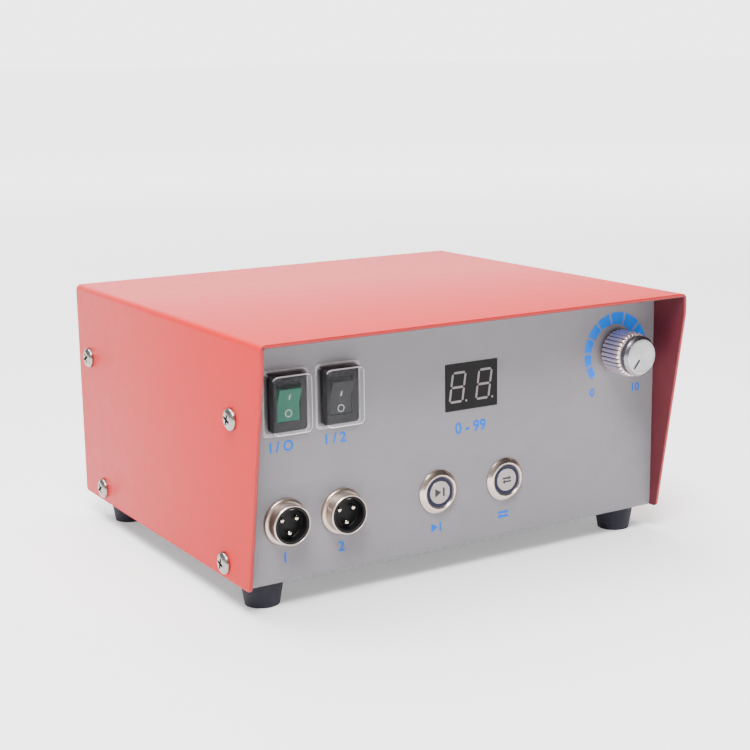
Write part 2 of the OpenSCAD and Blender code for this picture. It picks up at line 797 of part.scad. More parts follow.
module foot(x, y) {
  head_room = screw_head_d / 2 + tool_room;
  flank = [foot_top_d - foot_base_d, 2 * foot_h];
  color([0.13, 0.13, 0.15]) place() translate([x, y, -foot_h]) rotate_extrude() difference() {
    polygon([[head_room, 0], [foot_base_d / 2, 0], [foot_top_d / 2, foot_h], [screw_hole / 2, foot_h],
      [screw_hole / 2, foot_recess], [head_room, foot_recess]]);
    corner_waste([foot_base_d / 2, 0], [-1, 0], flank / norm(flank), foot_edge_r);
  }
}

module foot_front_left() foot(foot_xs[0], foot_ys[0]);
module foot_front_right() foot(foot_xs[1], foot_ys[0]);
module foot_rear_left() foot(foot_xs[0], foot_ys[1]);
module foot_rear_right() foot(foot_xs[1], foot_ys[1]);

module foot_screws() color([0.7, 0.7, 0.7]) place()
  for (x = foot_xs, y = foot_ys) translate([x, y, foot_recess - foot_h]) mirror([0, 0, 1])
    pan_screw(screw_d, screw_head_d, screw_head_h, foot_h - foot_recess + sheet + nut_h + screw_past);

module foot_nuts() color([0.7, 0.7, 0.68]) place()
  for (x = foot_xs, y = foot_ys) translate([x, y, sheet])
    hex_nut(nut_af, screw_d + 2 * thread_gap, nut_h);

// Rocker switches

module switch_blades(spots) {
  for (p = spots) translate([p[0], 0, p[1]])
    slab(blade_t, blade_w, switch_deep - blade_in, switch_deep + blade_l);
}

// Spring barbs above and below the body that hold the switch in its cut-out
module switch_barbs() {
  barb_w = 6;
  barb_l = 5;
  barb_h = 0.7;
  for (s = [-1, 1]) along_x(-barb_w / 2, barb_w / 2)
    polygon([[sheet, s * body_h / 2], [sheet, s * (body_h / 2 + barb_h)], [sheet + barb_l, s * body_h / 2]]);
}

module switch_housing(spots) color([0.1, 0.1, 0.11]) difference() {
  union() {
    rounded_slab(bezel_w, bezel_h, bezel_round, bezel_y, -boot_lip_t);
    slab(body_w, body_h, -boot_lip_t - past, switch_deep);
    switch_barbs();
  }
  slab(window_w, window_h, bezel_y - past, cavity_y);
  translate([0, pivot_y, 0]) rotate([0, 90, 0])
    cylinder(d = pivot_d + 2 * pivot_gap, h = body_w - 2 * pivot_wall, center = true);
  switch_blades(spots);
}

// A see-saw rocker with a valley across its middle, tilted with its lower end pressed in
module rocker(tint) color(tint) translate([0, pivot_y, 0]) rotate([half_swing, 0, 0]) {
  crest = rocker_front + rocker_r * tan(half_swing);
  along_x(-rocker_w / 2, rocker_w / 2) intersection() {
    circle(rocker_r);
    polygon([[-rocker_front, 0], [-crest, rocker_r], [rocker_back, rocker_r],
      [rocker_back, -rocker_r], [-crest, -rocker_r]]);
  }
  rotate([0, 90, 0]) cylinder(d = pivot_d, h = body_w - 2 * pivot_wall - 4 * pivot_gap, center = true);
  slab(rocker_w / 2, rocker_leg_t, 0, rocker_leg - rocker_leg_t / 2);
  translate([0, rocker_leg - rocker_leg_t / 2, 0]) rotate([0, 90, 0])
    cylinder(d = rocker_leg_t, h = rocker_w / 2, center = true);
}

// Tapered cap of the boot, drawn in by a wall
module boot_shape(inset, start) {
  skin = 0.01;
  draw = start / (boot_deep - boot_bulge);
  crown_w = boot_w - 2 * boot_draw_w;
  crown_h = boot_h - 2 * boot_draw_h;
  r = boot_r - inset;
  hull($fn = 32) {
    rounded_slab(boot_w - draw * boot_draw_w - 2 * inset, boot_h - draw * boot_draw_h - 2 * inset, r,
      -start - skin, -start);
    rounded_slab(boot_w - boot_draw_w - 2 * inset, boot_h - boot_draw_h - 2 * inset, r,
      boot_bulge - boot_deep + inset, boot_bulge - boot_deep + inset + skin);
    rounded_slab(crown_w - 2 * inset, crown_h - 2 * inset, r, inset - boot_deep, inset - boot_deep + skin);
  }
}

// Clear soft boot, held by its lip between the switch bezel and the panel
module boot() color([0.85, 0.88, 0.9, 0.4]) difference() {
  union() {
    rounded_slab(boot_lip_w, boot_lip_h, boot_r, -boot_lip_t, 0);
    boot_shape(0, 0);
  }
  boot_shape(boot_wall, boot_lip_t);
  slab(body_w + 2 * cut_gap, body_h + 2 * cut_gap, -boot_lip_t - past, past);
}

module power_switch_housing() front(switch_xs[0], switch_z) switch_housing(power_blades);
module power_rocker() front(switch_xs[0], switch_z) rocker([0.05, 0.45, 0.28]);
module power_boot() front(switch_xs[0], switch_z) boot();
module power_terminals() color([0.8, 0.68, 0.35]) front(switch_xs[0], switch_z) switch_blades(power_blades);
module selector_switch_housing() front(switch_xs[1], switch_z) switch_housing(selector_blades);
module selector_rocker() front(switch_xs[1], switch_z) rocker([0.09, 0.09, 0.1]);
module selector_boot() front(switch_xs[1], switch_z) boot();
module selector_terminals() color([0.8, 0.68, 0.35]) front(switch_xs[1], switch_z)
  switch_blades(selector_blades);

// Round plug sockets

module socket_shell() color([0.72, 0.71, 0.68]) {
  key_end = 0.6;
  rim = socket_d / 2;
  bore = socket_bore / 2;
  flange = socket_flange_d / 2;
  relief_end = socket_flange_t + relief_w;
  turned([[bore, socket_out], [rim - socket_chamfer, socket_out], [rim, socket_out - socket_chamfer],
    [rim, relief_end], [rim - relief_deep, relief_end], [rim - relief_deep, socket_flange_t],
    [flange, socket_flange_t], [flange, 0], [rim, 0],
    [rim, -socket_back], [bore, -socket_back]]);
  translate([-key_w / 2, key_end - socket_out, bore - key_h])
    cube([key_w, socket_recess - key_end, key_h + (rim - bore) / 2]);
}

module at_pins() for (a = pin_angles) translate([pin_circle * cos(a), 0, pin_circle * sin(a)]) children();

module socket_insert() color([0.08, 0.08, 0.09]) difference() {
  rod(socket_bore - 2 * insert_gap, sleeve_sink - socket_out, insert_y + insert_t);
  rod(socket_bore - 2 * (insert_gap + insert_wall), -socket_out, insert_y);
  translate([0, 0, socket_bore / 2])
    slab(key_w + 2 * insert_gap, 2 * (key_h + insert_gap), -socket_out, insert_y);
  at_pins() rod(pin_d + 2 * insert_gap, insert_y - past, insert_y + insert_t + past);
}

module socket_pin_set() color([0.85, 0.8, 0.65]) at_pins()
  rod(pin_d, insert_y - pin_out, insert_y + insert_t + pin_tail);

module at_sockets() {
  for (x = socket_xs) front(x, socket_z) children();
  rear(pedal_x, pedal_z) children();
}

module motor_socket_1() front(socket_xs[0], socket_z) socket_shell();
module motor_socket_2() front(socket_xs[1], socket_z) socket_shell();
module pedal_socket() rear(pedal_x, pedal_z) socket_shell();
module socket_inserts() at_sockets() socket_insert();
module socket_pins() at_sockets() socket_pin_set();
module socket_nuts() color([0.72, 0.71, 0.68]) at_sockets()
  panel_nut(socket_nut_af, socket_d + 2 * thread_gap, socket_nut_h);

// Push buttons

module button_terminal_set() for (p = button_blades) translate([p[0], 0, p[1]])
  slab(button_blade_w, button_blade_t, button_back - blade_in, button_back + button_blade_l);

module button_body() color([0.78, 0.75, 0.72]) {
  bore = cap_d / 2 + cap_gap;
  room = collar_d / 2 + cap_gap;
  difference() {
    turned([[bore, button_bezel_h], [button_face_d / 2, button_bezel_h], [button_bezel_d / 2, button_rim],
      [button_bezel_d / 2, 0], [button_d / 2, 0], [button_d / 2, -button_back], [0, -button_back],
      [0, spring_seat], [room, spring_seat], [room, cap_stop], [bore, cap_stop]]);
    button_terminal_set();
  }
}

// Push cap with a groove for the light ring and a collar that stops it in the barrel
module button_cap() color([0.8, 0.77, 0.74]) {
  wall = cap_d / 2;
  turned([[0, cap_face], [ring_bore / 2, cap_face], [ring_bore / 2, cap_face - ring_t],
    [ring_d / 2, cap_face - ring_t], [ring_d / 2, cap_face], [wall, cap_face], [wall, cap_stop - cap_gap],
    [collar_d / 2, cap_stop - cap_gap], [collar_d / 2, cap_foot], [0, cap_foot]]);
}

module button_ring() color([0.1, 0.12, 0.3])
  turned([[ring_bore / 2, cap_face], [ring_d / 2, cap_face], [ring_d / 2, cap_face - ring_t],
    [ring_bore / 2, cap_face - ring_t]]);

// Points of one ring of wire at step i of the return spring, which winds about Y
steps_per_turn = 12;
wire_sides = 6;
spring_steps = spring_turns * steps_per_turn;
spring_rise = (spring_l - spring_wire) / spring_steps;
function wire_ring(i) = [for (j = [0:wire_sides - 1])
  let (a = i * 360 / steps_per_turn)
  let (b = j * 360 / wire_sides)
  let (r = spring_d / 2 + spring_wire / 2 * cos(b))
  [r * cos(a), spring_wire / 2 + i * spring_rise + spring_wire / 2 * sin(b), r * sin(a)]];
function wire_side(i, j) = let (k = (j + 1) % wire_sides) let (n = i * wire_sides)
  [[n + j, n + k, n + wire_sides + j], [n + k, n + wire_sides + k, n + wire_sides + j]];

module button_spring() color([0.7, 0.7, 0.72]) translate([0, -cap_foot, 0]) {
  last = spring_steps * wire_sides;
  polyhedron(
    points = [for (i = [0:spring_steps]) each wire_ring(i)],
    faces = concat(
      [for (i = [0:spring_steps - 1], j = [0:wire_sides - 1]) each wire_side(i, j)],
      [for (j = [1:wire_sides - 2]) [0, j + 1, j]],
      [for (j = [1:wire_sides - 2]) [last, last + j, last + j + 1]]));
}

module start_button_body() front(button_xs[0], button_z) button_body();
module start_button_cap() front(button_xs[0], button_z) button_cap();
module start_button_ring() front(button_xs[0], button_z) button_ring();
module start_button_spring() front(button_xs[0], button_z) button_spring();
module reverse_button_body() front(button_xs[1], button_z) button_body();
module reverse_button_cap() front(button_xs[1], button_z) button_cap();
module reverse_button_ring() front(button_xs[1], button_z) button_ring();
module reverse_button_spring() front(button_xs[1], button_z) button_spring();
module button_terminals() color([0.8, 0.68, 0.35])
  for (x = button_xs) front(x, button_z) button_terminal_set();
module button_nuts() color([0.72, 0.71, 0.68])
  for (x = button_xs) front(x, button_z)
    panel_nut(button_nut_af, button_d + 2 * thread_gap, button_nut_h);

// Two-digit display

function slant(p) = [p[0] + p[1] * tan(digit_slant), p[1]];

// One light bar of a digit around a point, lying or standing
module bar(middle, length, standing) {
  h = segment_w / 2;
  l = length / 2;
  outline = [[-l, 0], [h - l, h], [l - h, h], [l, 0], [l - h, -h], [h - l, -h]];
  polygon([for (p = outline) slant(middle + (standing ? [p[1], p[0]] : p))]);
}

module digit() {
  half_w = (digit_w - segment_w) / 2;
  half_h = (digit_h - segment_w) / 2;
  gap = 2 * segment_gap;
  point_r = segment_w / 2;
  for (z = [-1, 0, 1]) bar([0, z * half_h], 2 * half_w - gap, false);
  for (x = [-1, 1], z = [-1, 1]) bar([x * half_w, z * half_h / 2], half_h - gap, true);
  translate(slant([digit_w / 2 + point_r + point_gap, -half_h])) circle(point_r);
}

module light_bars() {
  face = -display_out;
  along_y(face, face + segment_deep)
    for (s = [-1, 1]) translate([s * digit_pitch / 2 - segment_w / 2, 0]) digit();
}

module display_housing() color([0.1, 0.09, 0.1]) front(display_x, display_z) difference() {
  union() {
    slab(display_w, display_h, -display_out, display_deep);
    slab(display_w + 2 * display_lip, display_h + 2 * display_lip, sheet, sheet + display_lip_t);
  }
  light_bars();
}

module display_segments() color([0.78, 0.75, 0.75]) front(display_x, display_z) light_bars();

module display_board() color([0.12, 0.35, 0.2]) front(display_x, display_z)
  slab(display_board_w, display_board_h, display_deep, display_deep + board_t);

// Speed knob and potentiometer

module speed_knob() color([0.75, 0.75, 0.76]) front(knob_x, knob_z) difference() {
  skirt = knob_d / 2;
  head = knob_face_d / 2;
  neck = skirt - knob_neck - flute_d / 2;
  neck_l = 0.8;
  skirt_top = knob_out - knob_head - neck_l;
  disc_r = disc_d / 2;
  bore = shaft_d / 2 + thread_gap;
  shoulder = [for (a = [0:30:90])
    [skirt - knob_shoulder / 2 * (1 - cos(a)), skirt_top - knob_shoulder * (1 - sin(a))]];
  turned([[nut_room / 2, knob_gap], [skirt - knob_chamfer, knob_gap], [skirt, knob_gap + knob_chamfer],
    each shoulder, [neck, skirt_top], [neck, skirt_top + neck_l], [head, skirt_top + neck_l],
    [head, knob_out - knob_chamfer], [head - knob_chamfer, knob_out], [disc_r, knob_out],
    [disc_r, knob_out - face_t], [0, knob_out - face_t], [0, shaft_top],
    [bore, shaft_top], [bore, knob_recess], [nut_room / 2, knob_recess]]);
  for (i = [0:flutes - 1]) rotate([0, i * 360 / flutes, 0]) translate([0, 0, skirt])
    rod(flute_d, -skirt_top, past - knob_gap);
  translate([0, -grub_h, 0]) cylinder(d = grub_d + 2 * thread_gap, h = skirt + past);
}

// Turned disc in the knob's face with its pointer groove
module knob_face() color([0.82, 0.82, 0.83]) front(knob_x, knob_z) difference() {
  pointer_in = 1.6;
  rod(disc_d - 2 * thread_gap, -knob_out, face_t - knob_out);
  rotate([0, -pointer_angle, 0])
    translate([-pointer_w / 2, -knob_out - past, pointer_in]) cube([pointer_w, past + pointer_deep, knob_d]);
}

module knob_grub_screw() color([0.3, 0.3, 0.32]) front(knob_x, knob_z)
  translate([0, -grub_h, shaft_d / 2 + thread_gap]) cylinder(d = grub_d, h = grub_l);

module pot_shaft() color([0.7, 0.7, 0.72]) front(knob_x, knob_z)
  rod(shaft_d, thread_gap - shaft_top, sheet + shaft_in - shaft_gap);

module pot_body() color([0.55, 0.56, 0.58]) front(knob_x, knob_z) {
  bore = shaft_d / 2 + shaft_gap;
  can_end = -sheet - pot_deep;
  bore_end = -sheet - shaft_in;
  turned([[bore, bush_out], [bush_d / 2, bush_out], [bush_d / 2, -sheet], [pot_d / 2, -sheet],
    [pot_d / 2, can_end], [0, can_end], [0, bore_end], [bore, bore_end]]);
}

module pot_terminals() color([0.8, 0.68, 0.35]) front(knob_x, knob_z) {
  tag_w = 2;
  tag_l = 8;
  tag_t = 0.5;
  tag_pitch = 5;
  for (i = [-1:1]) translate([i * tag_pitch - tag_w / 2, sheet + pot_deep, -pot_d / 2 - tag_l / 2])
    cube([tag_w, tag_t, tag_l]);
}

module pot_nut() color([0.72, 0.71, 0.68]) front(knob_x, knob_z) rotate([90, 0, 0]) {
  translate([0, 0, washer_t]) hex_nut(pot_nut_af, bush_d + 2 * thread_gap, pot_nut_h);
  difference() {
    cylinder(d = nut_room - tool_room, h = washer_t);
    translate([0, 0, -past]) cylinder(d = bush_d + 2 * hole_gap, h = washer_t + 2 * past);
  }
}

// Mains inlet with its fuse drawer

module plug_cavity() {
  w = cavity_w / 2;
  h = cavity_h / 2;
  c = cavity_chamfer;
  polygon([[-w, h], [w, h], [w, c - h], [w - c, -h], [c - w, -h], [-w, c - h]]);
}

module prong_set() {
  cavity_end = cavity_deep - inlet_flange_t;
  for (p = prongs) translate([p[0], 0, cavity_z + p[1]])
    slab(prong_t, prong_h, cavity_end - prong_l, inlet_deep + prong_tag);
}

module mains_inlet() color([0.1, 0.1, 0.11]) rear(inlet_x, inlet_z) difference() {
  union() {
    rounded_slab(inlet_w, inlet_h, inlet_round, -inlet_flange_t, 0);
    slab(inlet_body_w, inlet_body_h, -past, inlet_deep);
  }
  translate([0, 0, cavity_z]) along_y(-inlet_flange_t - past, cavity_deep - inlet_flange_t) plug_cavity();
  translate([0, 0, drawer_z])
    slab(drawer_w + 2 * drawer_gap, drawer_h + 2 * drawer_gap, -inlet_flange_t - past,
      drawer_deep - inlet_flange_t + drawer_gap);
  prong_set();
}

module inlet_prongs() color([0.8, 0.78, 0.72]) rear(inlet_x, inlet_z) prong_set();

// Place of the fuse, which lies across the drawer
module at_fuse() rear(inlet_x, inlet_z)
  translate([0, drawer_deep / 2, drawer_z - drawer_h / 2 + fuse_floor + fuse_gap + fuse_d / 2]) children();

module fuse_drawer() color([0.12, 0.12, 0.13]) difference() {
  rear(inlet_x, inlet_z) translate([0, 0, drawer_z])
    slab(drawer_w, drawer_h, -inlet_flange_t, drawer_deep - inlet_flange_t);
  at_fuse() {
    trough_d = fuse_d + 2 * fuse_gap;
    trough_l = fuse_l + 2 * fuse_gap;
    rotate([0, 90, 0]) cylinder(d = trough_d, h = trough_l, center = true);
    translate([-trough_l / 2, -trough_d / 2, 0]) cube([trough_l, trough_d, drawer_h]);
  }
  rear(inlet_x, inlet_z) translate([0, 0, drawer_z - drawer_h / 2])
    slab(drawer_notch_w, drawer_notch_h, -inlet_flange_t - past, drawer_notch - inlet_flange_t);
}

// A glass cartridge between two metal caps
module fuse() color([0.85, 0.86, 0.85]) at_fuse() rotate([0, 90, 0]) {
  cylinder(d = fuse_d - fuse_step, h = fuse_l - fuse_cap, center = true);
  for (s = [-1, 1]) translate([0, 0, s * (fuse_l - fuse_cap) / 2])
    cylinder(d = fuse_d, h = fuse_cap, center = true);
}

// Transformer

module at_transformer() place() translate([transformer_x, transformer_y, sheet]) children();

module transformer_core() color([0.5, 0.5, 0.52]) at_transformer() difference() {
  middle = core_h / 2;
  translate([0, 0, middle]) slab(core_w, core_h, -core_stack / 2, core_stack / 2);
  for (s = [-1, 1]) translate([s * (core_leg + core_window_w / 2), 0, middle])
    slab(core_window_w, core_h - 2 * core_leg, -core_stack / 2 - past, core_stack / 2 + past);
}

module transformer_coil() color([0.9, 0.75, 0.3]) at_transformer()
  translate([0, 0, core_leg + coil_gap]) linear_extrude(core_h - 2 * core_leg - 2 * coil_gap) difference() {
    rounded(core_w - 2 * core_leg - 2 * coil_gap, core_stack + 2 * coil_over, coil_r);
    square([2 * (core_leg + coil_gap), core_stack + 2 * coil_gap], center = true);
  }

module transformer_strap() color([0.7, 0.7, 0.66]) at_transformer() difference() {
  side = core_w / 2 + strap_t;
  along_y(-strap_w / 2, strap_w / 2) {
    translate([-side, core_h]) square([2 * side, strap_t]);
    for (s = [0, 1]) mirror([s, 0]) {
      translate([core_w / 2, 0]) square([strap_t, core_h + strap_t]);
      translate([core_w / 2, 0]) square([strap_t + strap_foot, strap_t]);
    }
  }
  for (s = [-1, 1]) translate([s * strap_hole_x, 0, -past]) cylinder(d = screw_hole, h = strap_t + 2 * past);
}

module transformer_screws() color([0.7, 0.7, 0.7]) at_transformer()
  for (s = [-1, 1]) translate([s * strap_hole_x, 0, -sheet]) mirror([0, 0, 1])
    pan_screw(screw_d, screw_head_d, screw_head_h, sheet + strap_t + nut_h + screw_past);

module transformer_nuts() color([0.7, 0.7, 0.68]) at_transformer()
  for (s = [-1, 1]) translate([s * strap_hole_x, 0, strap_t])
    hex_nut(nut_af, screw_d + 2 * thread_gap, nut_h);

// Control board

module at_board_holes(z) place() for (x = board_hole_xs, y = board_hole_ys) translate([x, y, z]) children();

module control_board() color([0.1, 0.38, 0.2]) difference() {
  place() translate([board_x, board_y, board_z]) cube([board_w, board_d, board_t]);
  at_board_holes(board_z - past) cylinder(d = board_screw_d + 2 * hole_gap, h = board_t + 2 * past);
}

module board_spacers() color([0.8, 0.7, 0.4]) at_board_holes(0) difference() {
  union() {
    translate([0, 0, sheet]) cylinder(d = spacer_af / cos(30), h = spacer_h, $fn = 6);
    cylinder(d = spacer_stub, h = sheet + spacer_h / 2);
  }
  translate([0, 0, -past]) cylinder(d = board_screw_d + 2 * thread_gap, h = board_z + 2 * past);
}

module board_screws() color([0.7, 0.7, 0.7]) at_board_holes(board_top)
  pan_screw(board_screw_d, board_head_d, board_head_h, board_t + board_screw_l);

module heat_sink() color([0.2, 0.2, 0.21]) place() translate([sink_x, board_mid, board_top])
  linear_extrude(sink_h) {
    translate([0, -sink_l / 2]) square([sink_base, sink_l]);
    for (i = [0:fins - 1]) translate([0, -sink_l / 2 + i * (sink_l - fin_t) / (fins - 1)])
      square([sink_base + fin_l, fin_t]);
  }

// Two power transistors flat against the heat sink, on three legs each
module transistors() color([0.14, 0.14, 0.15]) place()
  for (s = [-1, 1]) translate([sink_x - transistor_t, board_mid + s * transistor_pitch / 2, board_top]) {
    leg_pitch = 2.54;
    leg_t = 0.8;
    translate([0, -transistor_w / 2, leg_l]) cube([transistor_t, transistor_w, transistor_h]);
    for (i = [-1:1]) translate([transistor_t / 2, i * leg_pitch - leg_t / 2, 0])
      cube([leg_t, leg_t, leg_l + past]);
  }

module capacitors() color([0.12, 0.15, 0.3]) place()
  for (s = [-1, 1]) translate([board_x + capacitor_in, board_mid + s * capacitor_pitch / 2, board_top])
    cylinder(d = capacitor_d, h = capacitor_h);

module cable_headers() color([0.92, 0.9, 0.84]) place()
  for (i = [0:headers - 1])
    translate([header_x + i * header_pitch, header_y, board_top]) difference() {
      translate([-header_l / 2, 0, 0]) cube([header_l, header_w, header_h]);
      translate([header_wall - header_l / 2, header_wall, 2 * header_wall])
        cube([header_l - 2 * header_wall, header_w - 2 * header_wall, header_h]);
    }

top_cover();
chassis();
cover_screws();
cover_nuts();
foot_front_left();
foot_front_right();
foot_rear_left();
foot_rear_right();
foot_screws();
foot_nuts();
power_switch_housing();
power_rocker();
power_boot();
power_terminals();
selector_switch_housing();
selector_rocker();
selector_boot();
selector_terminals();
motor_socket_1();
motor_socket_2();
pedal_socket();
socket_inserts();
socket_pins();
socket_nuts();
start_button_body();
start_button_cap();
start_button_ring();
start_button_spring();
reverse_button_body();
reverse_button_cap();
reverse_button_ring();
reverse_button_spring();
button_terminals();
button_nuts();
display_housing();
display_segments();
display_board();
speed_knob();
knob_face();
knob_grub_screw();
pot_shaft();
pot_body();
pot_terminals();
pot_nut();
mains_inlet();
inlet_prongs();
fuse_drawer();
fuse();
transformer_core();
transformer_coil();
transformer_strap();
transformer_screws();
transformer_nuts();
control_board();
board_spacers();
board_screws();
heat_sink();
transistors();
capacitors();
cable_headers();
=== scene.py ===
"""Looks of a dental micromotor's control box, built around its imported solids.

The box is a red hooded cover over a grey tray, with two booted rocker switches, two round motor sockets,
two push buttons, a two-digit display and a speed knob on its front panel.
"""
import json
import logging
import math
from dataclasses import dataclass, field
from enum import Enum
from typing import Any, Callable, Optional, Sequence, Union

import bmesh
import bpy
from mathutils import Matrix, Vector


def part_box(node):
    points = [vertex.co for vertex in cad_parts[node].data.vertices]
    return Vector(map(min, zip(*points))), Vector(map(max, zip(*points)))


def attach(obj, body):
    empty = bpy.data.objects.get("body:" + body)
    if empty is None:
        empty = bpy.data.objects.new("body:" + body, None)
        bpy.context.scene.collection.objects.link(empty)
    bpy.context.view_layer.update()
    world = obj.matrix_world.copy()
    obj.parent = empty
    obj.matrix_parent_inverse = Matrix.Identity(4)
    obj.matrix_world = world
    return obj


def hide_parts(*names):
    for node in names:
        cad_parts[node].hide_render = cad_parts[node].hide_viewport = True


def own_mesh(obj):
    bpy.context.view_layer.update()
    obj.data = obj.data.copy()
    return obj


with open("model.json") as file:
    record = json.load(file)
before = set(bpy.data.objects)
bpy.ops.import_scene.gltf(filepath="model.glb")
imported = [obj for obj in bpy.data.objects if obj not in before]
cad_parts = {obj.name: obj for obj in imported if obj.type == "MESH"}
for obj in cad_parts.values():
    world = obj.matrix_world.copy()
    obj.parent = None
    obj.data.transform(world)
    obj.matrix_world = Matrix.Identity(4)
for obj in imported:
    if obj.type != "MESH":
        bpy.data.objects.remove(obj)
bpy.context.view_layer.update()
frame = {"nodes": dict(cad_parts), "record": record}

LOG = logging.getLogger("control_box")
ROOT_BODY = "case"
SURFACE = "Principled BSDF"

# Units, angles and axes
MM = 0.001
FULL_TURN = 2 * math.pi
QUARTER_TURN = math.pi / 2
ALONG_X, ALONG_Y, ALONG_Z = Vector((1, 0, 0)), Vector((0, 1, 0)), Vector((0, 0, 1))

# Values that the finishes share
WHITE = (1.0, 1.0, 1.0, 1.0)
PLASTIC_IOR = 1.45
SHEEN_ROUGH = 0.6
LEAST_ROUGH = 0.02
DRIFT_SIZE = 12
DRIFT_DETAIL = 3.0
GRAIN_DETAIL = 4.0
BRUSH_STRETCH = (1.0, 1.0, 0.03)
RING_WIDTH = 6
RING_DRIFT = 0.6
RELIEF_TINT = 0.4
TINT_RANGE = (0.35, 1.0)

# Depths of the two panels' faces, thickness of print and a small tolerance, in millimetres
FRONT_FACE = -72.55
REAR_FACE = 84.25
INK = 0.03
SLACK = 0.01

# Shares of a face's normal along an axis, for a face that looks that way and for one that leans there
FACING = 0.8
LEANING = 0.3

Color = tuple[float, float, float]
Triple = tuple[float, float, float]
Point = tuple[float, float]
Edge = bmesh.types.BMEdge
Face = bmesh.types.BMFace
Tree = bpy.types.NodeTree
Socket = bpy.types.NodeSocket
Inputs = dict[Union[int, str], Any]


def srgb(red: int, green: int, blue: int) -> Color:
    """Turns screen colour values into linear light.

    Args:
        red, green, blue: Screen values from 0 to 255.

    Returns:
        The three linear values from 0 to 1.
    """
    def linear(value: int) -> float:
        """Turns one screen value into linear light."""
        share = value / 255
        return share / 12.92 if share <= 0.04045 else ((share + 0.055) / 1.055) ** 2.4
    return linear(red), linear(green), linear(blue)


def fill(tree: Tree, node: bpy.types.Node, inputs: Inputs) -> bpy.types.Node:
    """Sets or links some inputs of a node.

    Args:
        tree: Node tree of the node.
        node: The node.
        inputs: Value of each input, or the output that is linked to it.

    Returns:
        The node.
    """
    for name, value in inputs.items():
        if isinstance(value, Socket):
            tree.links.new(value, node.inputs[name])
        else:
            node.inputs[name].default_value = value
    return node


def add_node(tree: Tree, kind: str, inputs: Inputs, **options: str) -> bpy.types.Node:
    """Adds a node to a tree.

    Args:
        tree: Node tree of a material or of the room.
        kind: Kind of node, without its common first word.
        inputs: Value of each input, or the output that is linked to it.
        options: Choices of the node.

    Returns:
        The node.
    """
    node = tree.nodes.new(f"ShaderNode{kind}")
    for option, choice in options.items():
        setattr(node, option, choice)
    return fill(tree, node, inputs)


class Pattern(Enum):
    """The kinds of fine relief that the finishes have."""

    GRAIN = "grain"
    PEBBLE = "pebble"
    BRUSHED = "brushed"
    TURNED = "turned"


